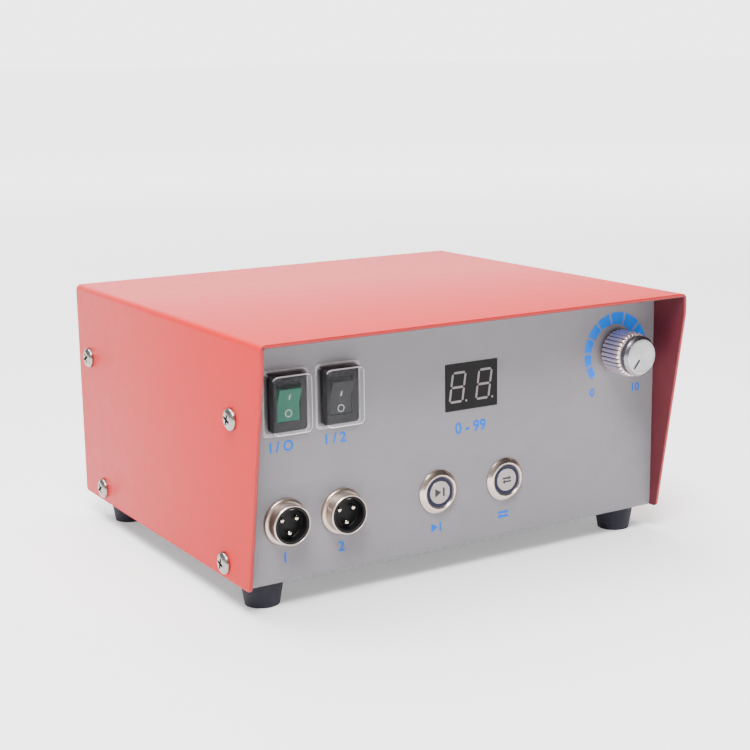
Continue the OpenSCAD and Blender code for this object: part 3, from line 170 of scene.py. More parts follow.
@dataclass(frozen=True)
class Finish:
    """A procedural finish on Object coordinates.

    Attributes:
        name: Name of the material.
        color: Linear base colour.
        rough, metal: Mean roughness and metallic share.
        pattern: Kind of fine relief.
        grain, relief: Size and height of the relief in millimetres.
        shift: Share by which the colour varies over the surface.
        rough_shift: Amount by which the roughness varies.
        clear: Transmission share.
        sheen: Weight of the dusty sheen on rubber.
        centre: Middle of a turned pattern in millimetres.
        glow: Share of the base colour that shines by itself, which makes the boot's painted highlight lines
            glow.
        alpha: Share of the light that a thin clear skin holds back.
        gloss: Specular level.
    """

    name: str
    color: Color
    rough: float = 0.5
    metal: float = 0.0
    pattern: Pattern = Pattern.GRAIN
    grain: float = 1.0
    relief: float = 0.02
    shift: float = 0.04
    rough_shift: float = 0.06
    clear: float = 0.0
    sheen: float = 0.0
    centre: Triple = (0.0, 0.0, 0.0)
    glow: float = 0.0
    alpha: float = 1.0
    gloss: float = 0.5

    def material(self) -> bpy.types.Material:
        """Finds or builds the material of this finish."""
        return bpy.data.materials.get(self.name) or self._build()

    def _build(self) -> bpy.types.Material:
        """Builds the node tree of the finish.

        Returns:
            The new material.
        """
        made = bpy.data.materials.new(self.name)
        made.use_nodes = True
        tree = made.node_tree
        place = add_node(tree, "TexCoord", {}).outputs["Object"]
        relief = self._relief(tree, place)
        drift = self._noise(tree, place, DRIFT_SIZE * self.grain, DRIFT_DETAIL)
        color = self._tint(tree, drift, relief)
        rough = add_node(tree, "MapRange", {
            "Value": drift, "To Min": max(LEAST_ROUGH, self.rough - self.rough_shift),
            "To Max": min(1.0, self.rough + self.rough_shift)})
        bump = add_node(tree, "Bump", {"Strength": 1.0, "Distance": self.relief * MM, "Height": relief})
        shader = fill(tree, tree.nodes[SURFACE], {
            "Base Color": color, "Roughness": rough.outputs["Result"], "Normal": bump.outputs["Normal"],
            "Metallic": self.metal, "IOR": PLASTIC_IOR, "Transmission Weight": self.clear,
            "Alpha": self.alpha, "Specular IOR Level": self.gloss, "Sheen Weight": self.sheen,
            "Sheen Roughness": SHEEN_ROUGH})
        if self.glow:
            fill(tree, shader, {"Emission Color": color, "Emission Strength": self.glow})
        return made

    @staticmethod
    def _noise(tree: Tree, place: Socket, size: float, detail: float) -> Socket:
        """Adds a noise of a size in millimetres and a number of octaves."""
        noise = add_node(tree, "TexNoise", {"Vector": place, "Scale": 1 / (size * MM), "Detail": detail})
        return noise.outputs["Fac"]

    def _relief(self, tree: Tree, place: Socket) -> Socket:
        """Adds the fine relief of the finish.

        Args:
            tree: Node tree of the material.
            place: Object coordinates.

        Returns:
            The relief's height.
        """
        if self.pattern is Pattern.PEBBLE:
            cells = add_node(tree, "TexVoronoi", {"Vector": place, "Scale": 1 / (self.grain * MM)},
                             feature="SMOOTH_F1")
            return cells.outputs["Distance"]
        if self.pattern is Pattern.TURNED:
            centre = tuple(-c * MM for c in self.centre)
            centred = add_node(tree, "Mapping", {"Vector": place, "Location": centre})
            rings = add_node(tree, "TexWave", {
                "Vector": centred.outputs["Vector"], "Scale": 1 / (RING_WIDTH * self.grain * MM),
                "Distortion": RING_DRIFT, "Detail": DRIFT_DETAIL}, wave_type="RINGS", rings_direction="Y")
            return rings.outputs["Fac"]
        if self.pattern is Pattern.BRUSHED:
            stretch = add_node(tree, "Mapping", {"Vector": place, "Scale": BRUSH_STRETCH})
            place = stretch.outputs["Vector"]
        return self._noise(tree, place, self.grain, GRAIN_DETAIL)

    def _tint(self, tree: Tree, drift: Socket, relief: Socket) -> Socket:
        """Lets the colour drift a little over the surface and with its relief.

        Args:
            tree: Node tree of the material.
            drift: Broad noise over the surface.
            relief: Fine relief of the surface.

        Returns:
            The colour.
        """
        both = add_node(tree, "Math", {0: relief, 1: RELIEF_TINT, 2: drift}, operation="MULTIPLY_ADD")
        ramp = add_node(tree, "ValToRGB", {"Fac": both.outputs["Value"]})
        low, high = ramp.color_ramp.elements
        low.position, high.position = TINT_RANGE
        low.color = (*(max(0.0, c * (1 - self.shift)) for c in self.color), 1.0)
        high.color = (*(min(1.0, c * (1 + self.shift)) for c in self.color), 1.0)
        return ramp.outputs["Color"]


# Darker red that paints the shade on the cover's inner skin.
RED_INSIDE_SHADE = Finish("red_inner_painted_shade", srgb(84, 24, 33), 0.5, grain=0.5, relief=0.015, shift=0.06,
                    pattern=Pattern.PEBBLE)
# Darker red that paints the shade on the cover's cut edges.
RED_EDGE_SHADE = Finish("red_cut_edge_painted_shade", srgb(160, 18, 22), 0.45, grain=0.5, relief=0.01, shift=0.05)
RED_COAT = Finish("red_powder_coat", srgb(190, 24, 27), 0.5, grain=0.5, relief=0.012, shift=0.03,
                  pattern=Pattern.PEBBLE, gloss=0.22)
GREY_COAT = Finish("grey_textured_paint", srgb(122, 119, 124), 0.55, grain=0.7, relief=0.05,
                   pattern=Pattern.PEBBLE, shift=0.05)
SCREW_STEEL = Finish("plated_screw", srgb(150, 145, 141), 0.24, 1.0, Pattern.BRUSHED, 0.2, 0.004)
# Dark colour that paints the shade in the screws' cross recesses.
RECESS_SHADE = Finish("painted_recess_shade", srgb(30, 28, 27), 0.5, 0.6, grain=0.2, relief=0.004)
ZINC = Finish("zinc_plate", srgb(190, 190, 180), 0.4, 1.0, grain=0.8, relief=0.006)
RUBBER = Finish("black_rubber", srgb(30, 29, 39), 0.72, grain=0.35, relief=0.02, shift=0.12, sheen=0.04,
                gloss=0.3)
SWITCH_PLASTIC = Finish("black_switch_plastic", srgb(28, 26, 30), 0.45, grain=0.3, relief=0.008, shift=0.1,
                        gloss=0.15)
GREEN_ROCKER = Finish("green_rocker_plastic", srgb(0, 80, 60), 0.4, grain=1.2, relief=0.006, shift=0.12,
                      gloss=0.2)
# Darker copy of the green rocker plastic that paints the shade on its tilted upper end.
GREEN_END_SHADE = Finish("green_plastic_painted_shade", srgb(2, 40, 30), 0.35, grain=1.2, relief=0.006, shift=0.12)
BLACK_ROCKER = Finish("black_rocker_plastic", srgb(26, 24, 27), 0.4, grain=0.4, relief=0.006, shift=0.1,
                      gloss=0.2)
VINYL = Finish("clear_vinyl", srgb(236, 238, 240), 0.12, grain=3.0, relief=0.004, shift=0.02,
               rough_shift=0.04, alpha=0.014)
# Dark tint that paints, on the boot's clear left wall, the reflection of the black bezel seen enlarged.
VINYL_WALL_DARK_REFLECTION = Finish("clear_vinyl_painted_dark_wall", srgb(30, 28, 32), 0.14, grain=3.0, relief=0.004, shift=0.05,
                    rough_shift=0.04, alpha=0.5)
# Dark maroon tint that paints the reflection of the hood's underside on the boot's upper wall.
VINYL_TOP_REFLECTION = Finish("clear_vinyl_painted_top_reflection", srgb(62, 50, 54), 0.3, 0.0, grain=3.0, relief=0.01, shift=0.05,
                   rough_shift=0.04, alpha=0.45, gloss=0.25)
# Near-white glowing skin that paints the highlight lines along the boot's front edges.
VINYL_EDGE_HIGHLIGHT = Finish("clear_vinyl_painted_edge_highlight", srgb(246, 238, 240), 0.2, grain=3.0, relief=0.004, shift=0.02,
                    alpha=0.9, glow=0.2)
# Whitish haze that paints the sheen on the boot's lip.
VINYL_LIP_SHEEN = Finish("clear_vinyl_painted_lip_sheen", srgb(226, 220, 222), 0.25, grain=3.0, relief=0.006, shift=0.03,
                   alpha=0.26)
NICKEL = Finish("bright_nickel", srgb(194, 177, 166), 0.33, 1.0, Pattern.GRAIN, 0.5, 0.003)
BEZEL_NICKEL = Finish("polished_bezel", srgb(206, 188, 176), 0.24, 1.0, Pattern.GRAIN, 0.4, 0.001,
                      rough_shift=0.03)
SATIN_NICKEL = Finish("satin_nickel", srgb(150, 141, 138), 0.36, 1.0, Pattern.GRAIN, 0.25, 0.004)
INSERT_PLASTIC = Finish("black_insert_plastic", srgb(14, 13, 15), 0.5, grain=0.3, relief=0.01, shift=0.1,
                        gloss=0.25)
PLATED_PIN = Finish("plated_contact", srgb(225, 216, 196), 0.18, 1.0, grain=0.4, relief=0.002)
NAVY_LIGHT = Finish("navy_light_ring", srgb(8, 10, 42), 0.3, grain=0.6, relief=0.004, gloss=0.3)
BRASS = Finish("stamped_brass", srgb(205, 178, 105), 0.35, 1.0, grain=0.5, relief=0.004)
STEEL_WIRE = Finish("spring_wire", srgb(180, 180, 184), 0.3, 1.0, grain=0.3, relief=0.003)
DISPLAY_FACE = Finish("display_face", srgb(16, 14, 16), 0.35, grain=0.4, relief=0.006, shift=0.08,
                      gloss=0.15)
SEGMENT = Finish("unlit_segment", srgb(122, 116, 116), 0.45, grain=0.3, relief=0.006)
BOARD_MASK = Finish("board_mask", srgb(22, 92, 52), 0.4, grain=1.5, relief=0.02, shift=0.15)
TURNED_FACE = Finish("turned_knob_face", srgb(176, 173, 176), 0.28, 1.0, Pattern.TURNED, 0.06, 0.012,
                     centre=(77.4, 0.0, 82.0))
# Darker metal that paints the shade and the dark reflection on the knob head's side and chamfer.
KNOB_HEAD_SHADE = Finish("polished_knob_head_painted_shade", srgb(136, 131, 136), 0.26, 1.0, Pattern.GRAIN, 0.2, 0.002)
# Darker metal that paints the shade at the bottoms of the knob's grooves.
KNOB_GROOVE_SHADE = Finish("painted_knob_groove_shade", srgb(120, 108, 113), 0.5, 1.0, Pattern.GRAIN, 0.2, 0.004)
KNOB_METAL = Finish("anodised_knob", srgb(250, 232, 230), 0.42, 1.0, Pattern.GRAIN, 0.2, 0.004)
POT_METAL = Finish("pressed_can", srgb(170, 172, 176), 0.35, 1.0, grain=0.6, relief=0.006)
INLET_PLASTIC = Finish("black_inlet_plastic", srgb(30, 30, 32), 0.45, grain=0.3, relief=0.01, shift=0.1)
FUSE_GLASS = Finish("fuse_glass", (0.9, 0.92, 0.91), 0.05, grain=2.0, relief=0.004, clear=0.8)
CORE_IRON = Finish("laminated_iron", srgb(110, 110, 114), 0.5, 0.8, Pattern.GRAIN, 0.5, 0.02)
COIL_TAPE = Finish("yellow_tape", srgb(222, 190, 80), 0.4, grain=2.0, relief=0.03, shift=0.08)
SINK_BLACK = Finish("black_anodised", srgb(40, 40, 43), 0.4, 0.6, grain=0.4, relief=0.006)
CHIP_BLACK = Finish("moulded_component", srgb(36, 36, 38), 0.5, grain=0.3, relief=0.01, shift=0.1)
SLEEVE_BLUE = Finish("blue_sleeve", srgb(30, 44, 100), 0.3, grain=1.0, relief=0.006)
HEADER_CREAM = Finish("cream_header", srgb(228, 222, 204), 0.5, grain=0.5, relief=0.01)
BLUE_INK = Finish("blue_print", srgb(0, 95, 205), 0.55, grain=0.4, relief=0.004, shift=0.06, gloss=0.1)
DIAL_INK = Finish("blue_dial_print", srgb(0, 108, 220), 0.55, grain=0.4, relief=0.004, shift=0.06,
                  gloss=0.15)
WHITE_INK = Finish("white_mark", srgb(160, 170, 165), 0.5, grain=0.4, relief=0.004)
DARK_INK = Finish("dark_mark", srgb(30, 30, 36), 0.5, grain=0.4, relief=0.004, shift=0.1)
FLOOR_PAPER = Finish("pale_floor", (0.9, 0.9, 0.9), 0.9, grain=40, relief=0.01, shift=0.01)


def corners(parts: Sequence[Union[Edge, Face]]) -> list[bmesh.types.BMVert]:
    """Lists the corners of some edges or faces, each once."""
    return list({v for part in parts for v in part.verts})


def of_kind(geometry: Sequence[Any], kind: type) -> list[Any]:
    """Picks the corners, edges or faces out of what an operation made."""
    return [g for g in geometry if isinstance(g, kind)]


class Shape:
    """A bmesh under construction, with the operations that the pieces of this box need."""

    def __init__(self) -> None:
        """Starts with an empty mesh."""
        self.mesh = bmesh.new()

    def loop(self, points: Sequence[Vector], closed: bool = True) -> list[Edge]:
        """Adds a chain of edges, in metres.

        Args:
            points: Corners of the chain.
            closed: Whether the last corner joins the first.

        Returns:
            The new edges.
        """
        verts = [self.mesh.verts.new(p) for p in points]
        ends = verts[1:] + (verts[:1] if closed else [])
        return [self.mesh.edges.new(pair) for pair in zip(verts, ends)]

    def spun(self, profile: Sequence[Point], middle: Vector, facing: float, steps: int = 72,
             closed: bool = True) -> "Shape":
        """Spins a profile about an axis along Y.

        Args:
            profile: Radius and height over the panel in millimetres.
            middle: Point on the axis at height zero.
            facing: -1 where heights point to the front, 1 to the rear.
            steps: Number of steps of the turn.
            closed: Whether the profile is a ring.

        Returns:
            This shape.
        """
        points = [middle + Vector((r * MM, facing * h * MM, 0)) for r, h in profile]
        edges = self.loop(points, closed)
        bmesh.ops.spin(self.mesh, geom=corners(edges) + edges, cent=middle, axis=ALONG_Y, angle=FULL_TURN,
                       steps=steps, use_merge=True)
        return self.clean()

    def clean(self) -> "Shape":
        """Merges doubles and turns the faces outwards.

        Returns:
            This shape.
        """
        bmesh.ops.remove_doubles(self.mesh, verts=self.mesh.verts, dist=1e-7)
        bmesh.ops.recalc_face_normals(self.mesh, faces=self.mesh.faces)
        return self

    def face_out(self) -> "Shape":
        """Turns the faces of a closed shape outwards, by the sign of its volume.

        Returns:
            This shape.
        """
        if all(e.is_manifold for e in self.mesh.edges) and self.mesh.calc_volume(signed=True) < 0:
            bmesh.ops.reverse_faces(self.mesh, faces=self.mesh.faces)
        self.mesh.normal_update()
        return self

    def oblong(self, width: float, height: float, corner: float, middle: Vector,
               steps: int = 6) -> list[Edge]:
        """Adds a rounded rectangle in a plane across Y.

        Args:
            width, height, corner: Sizes in millimetres.
            middle: Middle of the rectangle.
            steps: Steps of each corner.

        Returns:
            The edges round the rectangle.
        """
        half = Vector((width / 2 * MM, 0, height / 2 * MM))
        signs = ((-1, -1), (1, -1), (1, 1), (-1, 1))
        points = [middle + Vector((sx * half.x, 0, sz * half.z)) for sx, sz in signs]
        before = set(self.mesh.edges)
        bmesh.ops.bevel(self.mesh, geom=corners(self.loop(points)), offset=corner * MM, affect="VERTICES",
                        segments=steps, profile=0.5, material=-1)
        return [e for e in self.mesh.edges if e not in before]

    def loft(self, rings: Sequence[list[Edge]]) -> "Shape":
        """Joins a row of rings about one axis along Y, corner to corner.

        Args:
            rings: Edges of each ring in order, as many in each.

        Returns:
            This shape.
        """
        last = self._in_order(rings[0])
        for ring in rings[1:]:
            found = self._in_order(ring)
            turns = [found[k:] + found[:k] for k in (-1, 0, 1)]
            following = min(turns, key=lambda t: sum((a.co - b.co).length for a, b in zip(last, t)))
            for k in range(len(last)):
                self.mesh.faces.new((last[k - 1], last[k], following[k], following[k - 1]))
            last = following
        return self

    @staticmethod
    def _in_order(ring: list[Edge]) -> list[bmesh.types.BMVert]:
        """Lists the corners of a ring about an axis along Y in the order of their angles.

        Args:
            ring: Edges of the ring.

        Returns:
            The corners.
        """
        verts = corners(ring)
        middle = sum((v.co for v in verts), Vector()) / len(verts)
        return sorted(verts, key=lambda v: math.atan2(v.co.x - middle.x, v.co.z - middle.z))

    def cap(self, edges: list[Edge]) -> Face:
        """Fills a ring of edges with a face."""
        return bmesh.ops.edgeloop_fill(self.mesh, edges=edges)["faces"][0]

    def pull(self, faces: list[Face], step: Vector) -> list[Face]:
        """Extrudes faces.

        Args:
            faces: Faces to extrude.
            step: Way that they move.

        Returns:
            The moved faces.
        """
        moved = of_kind(bmesh.ops.extrude_face_region(self.mesh, geom=faces)["geom"], Face)
        bmesh.ops.translate(self.mesh, vec=step, verts=corners(moved))
        return moved

    def solid(self, edges: list[Edge], step: Vector) -> "Shape":
        """Makes a solid from a flat ring.

        Args:
            edges: Edges of the ring.
            step: Way and thickness of the solid.

        Returns:
            This shape.
        """
        base = bmesh.ops.duplicate(self.mesh, geom=[self.cap(edges)])["geom"]
        self.pull(of_kind(base, Face), step)
        return self.clean()

    def soften(self, offset: float, segments: int = 2, angle: float = 30.0,
               where: Optional[Callable[[Edge], bool]] = None) -> "Shape":
        """Rounds the sharp edges.

        Args:
            offset: Width of the rounding in millimetres.
            segments: Steps of the rounding.
            angle: Edges that bend by more degrees than this are rounded.
            where: Further choice of edges.

        Returns:
            This shape.
        """
        limit = math.radians(angle)
        sharp = [e for e in self.mesh.edges if len(e.link_faces) == 2 and e.calc_face_angle(0.0) > limit
                 and (where is None or where(e))]
        bmesh.ops.bevel(self.mesh, geom=sharp, offset=offset * MM, offset_type="OFFSET", affect="EDGES",
                        segments=segments, profile=0.5, material=-1, clamp_overlap=True)
        return self

    def turn(self, angle: float, axis: Vector, about: Vector) -> "Shape":
        """Turns the whole shape by an angle in radians about an axis through a point."""
        bmesh.ops.rotate(self.mesh, verts=self.mesh.verts, cent=about, matrix=Matrix.Rotation(angle, 3, axis))
        return self

    def move(self, step: Vector) -> "Shape":
        """Moves the whole shape by a step in metres."""
        bmesh.ops.translate(self.mesh, vec=step, verts=self.mesh.verts)
        return self

    def add(self, other: "Shape") -> "Shape":
        """Takes in another shape.

        Args:
            other: Shape that is used up.

        Returns:
            This shape.
        """
        spare = bpy.data.meshes.new("spare")
        other.mesh.to_mesh(spare)
        other.mesh.free()
        self.mesh.from_mesh(spare)
        bpy.data.meshes.remove(spare)
        return self

    def paint(self, index: int, where: Callable[[Face], bool]) -> "Shape":
        """Gives some faces another of the piece's finishes.

        Args:
            index: Place of the finish in the piece's list.
            where: Choice of faces.

        Returns:
            This shape.
        """
        for face in self.mesh.faces:
            if where(face):
                face.material_index = index
        return self

    def place(self, name: str, finishes: Sequence[Finish], slot: str, body: str = ROOT_BODY,
              instead: Sequence[str] = (), sharp: float = 35.0) -> bpy.types.Object:
        """Turns the shape into a piece of the scene.

        Args:
            name: Name of the piece.
            finishes: Finishes of the piece, the first being its main one.
            slot: Material slot of the record; not used.
            body: Body that the piece rides on.
            instead: Nodes that the piece replaces.
            sharp: Edges that bend by more degrees than this stay sharp.

        Returns:
            The piece.
        """
        limit = math.radians(sharp)
        bmesh.ops.delete(self.mesh, geom=[e for e in self.mesh.edges if e.is_wire], context="EDGES")
        self.face_out()
        for face in self.mesh.faces:
            face.smooth = True
        for edge in self.mesh.edges:
            edge.smooth = len(edge.link_faces) == 2 and edge.calc_face_angle(0.0) < limit
        mesh = bpy.data.meshes.new(name)
        self.mesh.to_mesh(mesh)
        self.mesh.free()
        for finish in finishes:
            mesh.materials.append(finish.material())
        piece = bpy.data.objects.new(name, mesh)
        bpy.context.scene.collection.objects.link(piece)
        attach(piece, body)
        if instead:
            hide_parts(*instead)
        LOG.info("%s: %d faces on %s", name, len(mesh.polygons), body)
        return piece


def spot(x: float, z: float, y: float = FRONT_FACE) -> Vector:
    """Gives a point in metres, from millimetres, by default on the front panel's face."""
    return Vector((x * MM, y * MM, z * MM))


def height_over_panel(face: Face) -> float:
    """Gives a face's height over the front panel in millimetres."""
    return FRONT_FACE - face.calc_center_median().y / MM


@dataclass
class TopCover:
    """Red folded cover with its hood and slanted cheeks.

    Attributes:
        half_width, half_depth: Half sizes of the cover in millimetres.
        low, top: Heights of its edges and its roof.
        kink: Height where the cheeks start to slant back.
        cheek_foot: Depth of the cheeks' lower ends.
        corner: Radius of the lower corners.
        bend: Outer radius of the folds.
        sheet: Thickness of the sheet.
        edge: Rounding of the cut edges.
        skin: Share of the sheet behind which the inner skin starts, which is painted darker as shade.
        cut_front, cut_low: Shares of the normal from which a face counts as cut edge, which is painted darker
            as shade.
    """

    half_width: float = 100.0
    half_depth: float = 90.75
    low: float = 10.7
    top: float = 106.7
    kink: float = 98.0
    cheek_foot: float = -75.95
    corner: float = 1.5
    bend: float = 2.5
    sheet: float = 1.5
    edge: float = 0.28
    skin: float = 0.6
    cut_front: float = 0.6
    cut_low: float = 0.5

    def build(self) -> None:
        """Folds the cover from its left wall over the roof and mirrors it."""
        shape = Shape()
        shoulder = self.top - self.bend
        outline = ((-self.half_depth, shoulder), (-self.half_depth, self.kink), (self.cheek_foot, self.low),
                   (self.half_depth, self.low), (self.half_depth, shoulder))
        edges = shape.loop([spot(-self.half_width, z, y) for y, z in outline])
        feet = [v for v in shape.mesh.verts if v.co.z < (self.low + 1) * MM]
        bmesh.ops.bevel(shape.mesh, geom=feet, offset=self.corner * MM, affect="VERTICES", segments=8,
                        profile=0.5, material=-1)
        shape.cap(list(shape.mesh.edges))
        fold = next(e for e in edges if e.is_valid and all(v.co.z > (shoulder - SLACK) * MM for v in e.verts))
        made = bmesh.ops.spin(shape.mesh, geom=[fold, *fold.verts], axis=ALONG_Y, angle=QUARTER_TURN,
                              steps=10, cent=spot(self.bend - self.half_width, shoulder, 0))
        ridge = of_kind(made["geom_last"], Edge)
        roof = bmesh.ops.extrude_edge_only(shape.mesh, edges=ridge)["geom"]
        bmesh.ops.translate(shape.mesh, vec=((self.half_width - self.bend) * MM, 0, 0),
                            verts=of_kind(roof, bmesh.types.BMVert))
        bmesh.ops.mirror(shape.mesh, geom=[*shape.mesh.verts, *shape.mesh.edges, *shape.mesh.faces],
                         axis="X", merge_dist=1e-6)
        shape.clean()
        bmesh.ops.solidify(shape.mesh, geom=list(shape.mesh.faces), thickness=self.sheet * MM)
        shape.clean().soften(self.edge, 2, 40)
        shape.paint(1, self._inner).paint(2, self._cut)
        shape.place("cover", [RED_COAT, RED_INSIDE_SHADE, RED_EDGE_SHADE], "cover_red", instead=["top_cover"], sharp=40)

    def _inner(self, face: Face) -> bool:
        """Tells whether a face belongs to the inner skin, which is painted a darker red as shade."""
        middle = face.calc_center_median() / MM
        deep = self.skin * self.sheet
        return abs(middle.x) < self.half_width - deep and middle.z < self.top - deep

    def _cut(self, face: Face) -> bool:
        """Tells whether a face lies on the cut edge round the cover, which is painted a darker red as shade.
        """
        across = -face.normal
        at_edge = across.y > self.cut_front or across.z > self.cut_low
        return at_edge and abs(across.x) < FACING and not self._inner(face)


@dataclass
class CoverScrews:
    """Eight pan-head screws with cross recesses in the side walls.

    Attributes:
        places: Depth and height of the screws on one side in millimetres.
        wall: Distance of the walls from the middle.
        head_r, head_h: Radius and height of the heads.
        shank_r, shank_l: Radius and length of the shanks.
        dome: Steps in from the rim and heights of the domed head.
        cross_l, cross_w, cross_deep: Half length, half width and depth of the recess.
        cross_sink, taper: Depth of its rim below the top, and share of its size that is left at its floor.
        recess: Heights between which a face near the axis counts as the recess, which is painted dark as
            shade.
        edge: Rounding of the edges.
        first_turn, next_turn: Angle of the first recess in radians, and step from screw to screw.
    """

    places: tuple[Point, ...] = ((-65.65, 75.2), (77.35, 75.2), (-55.95, 16.9), (67.95, 16.9))
    wall: float = 100.0
    head_r: float = 4.4
    head_h: float = 2.2
    shank_r: float = 2.0
    shank_l: float = 7.2
    cross_l: float = 2.3
    cross_w: float = 0.55
    dome: tuple[Point, ...] = ((0.0, 0.75), (0.1, 1.05), (0.4, 1.45), (0.95, 1.8), (1.5, 2.0), (1.75, 2.1))
    cross_deep: float = 1.2
    cross_sink: float = 0.02
    taper: float = 0.75
    recess: Point = (0.3, 2.0)
    edge: float = 0.06
    first_turn: float = 0.4
    next_turn: float = 0.73

    def head(self) -> Shape:
        """Makes one screw that faces the front.

        Returns:
            The screw about the origin.
        """
        shape = Shape()
        profile = [(self.shank_r, -self.shank_l), (self.shank_r, 0), (self.head_r, 0)]
        profile += [(self.head_r - step, height) for step, height in self.dome]
        shape.spun(profile, Vector(), -1, 36, closed=False)
        ends = [e for e in shape.mesh.edges if e.is_boundary]
        front = [e for e in ends if e.verts[0].co.y < 0]
        shape.cap([e for e in ends if e.verts[0].co.y > 0])
        w, l = self.cross_w * MM, self.cross_l * MM
        quarter = ((l, -w), (l, w), (w, w))
        points = []
        for turn in range(4):
            spin = Matrix.Rotation(turn * QUARTER_TURN, 2)
            points += [spin @ Vector(p) for p in quarter]
        y = -(self.head_h - self.cross_sink) * MM
        cross = shape.loop([Vector((p.x, y, p.y)) for p in points])
        bmesh.ops.triangle_fill(shape.mesh, edges=front + cross, use_beauty=True, normal=(0, -1, 0))
        lid = shape.cap(cross)
        floor = shape.pull([lid], Vector((0, self.cross_deep * MM, 0)))
        bmesh.ops.delete(shape.mesh, geom=[lid], context="FACES_ONLY")
        bmesh.ops.scale(shape.mesh, vec=(self.taper, 1, self.taper), verts=corners(floor))
        shape.clean().soften(self.edge, 1, 50)
        return shape.paint(1, self._recess_shade)

    def _recess_shade(self, face: Face) -> bool:
        """Tells whether a face lies in the cross recess, which is painted dark as shade."""
        middle = face.calc_center_median() / MM
        return middle.xz.length < self.cross_l + 2 * SLACK and self.recess[0] < -middle.y < self.recess[1]

    def build(self) -> None:
        """Sets the screws in both walls, each with its recess at another angle."""
        every = Shape()
        walls = [(side, y, z) for side in (-1, 1) for y, z in self.places]
        for count, (side, y, z) in enumerate(walls):
            screw = self.head().turn(self.first_turn + self.next_turn * count, ALONG_Y, Vector())
            screw.turn(side * QUARTER_TURN, ALONG_Z, Vector())
            every.add(screw.move(spot(side * self.wall, z, y)))
        every.place("side_screws", [SCREW_STEEL, RECESS_SHADE], "screw_steel", instead=["cover_screws"])


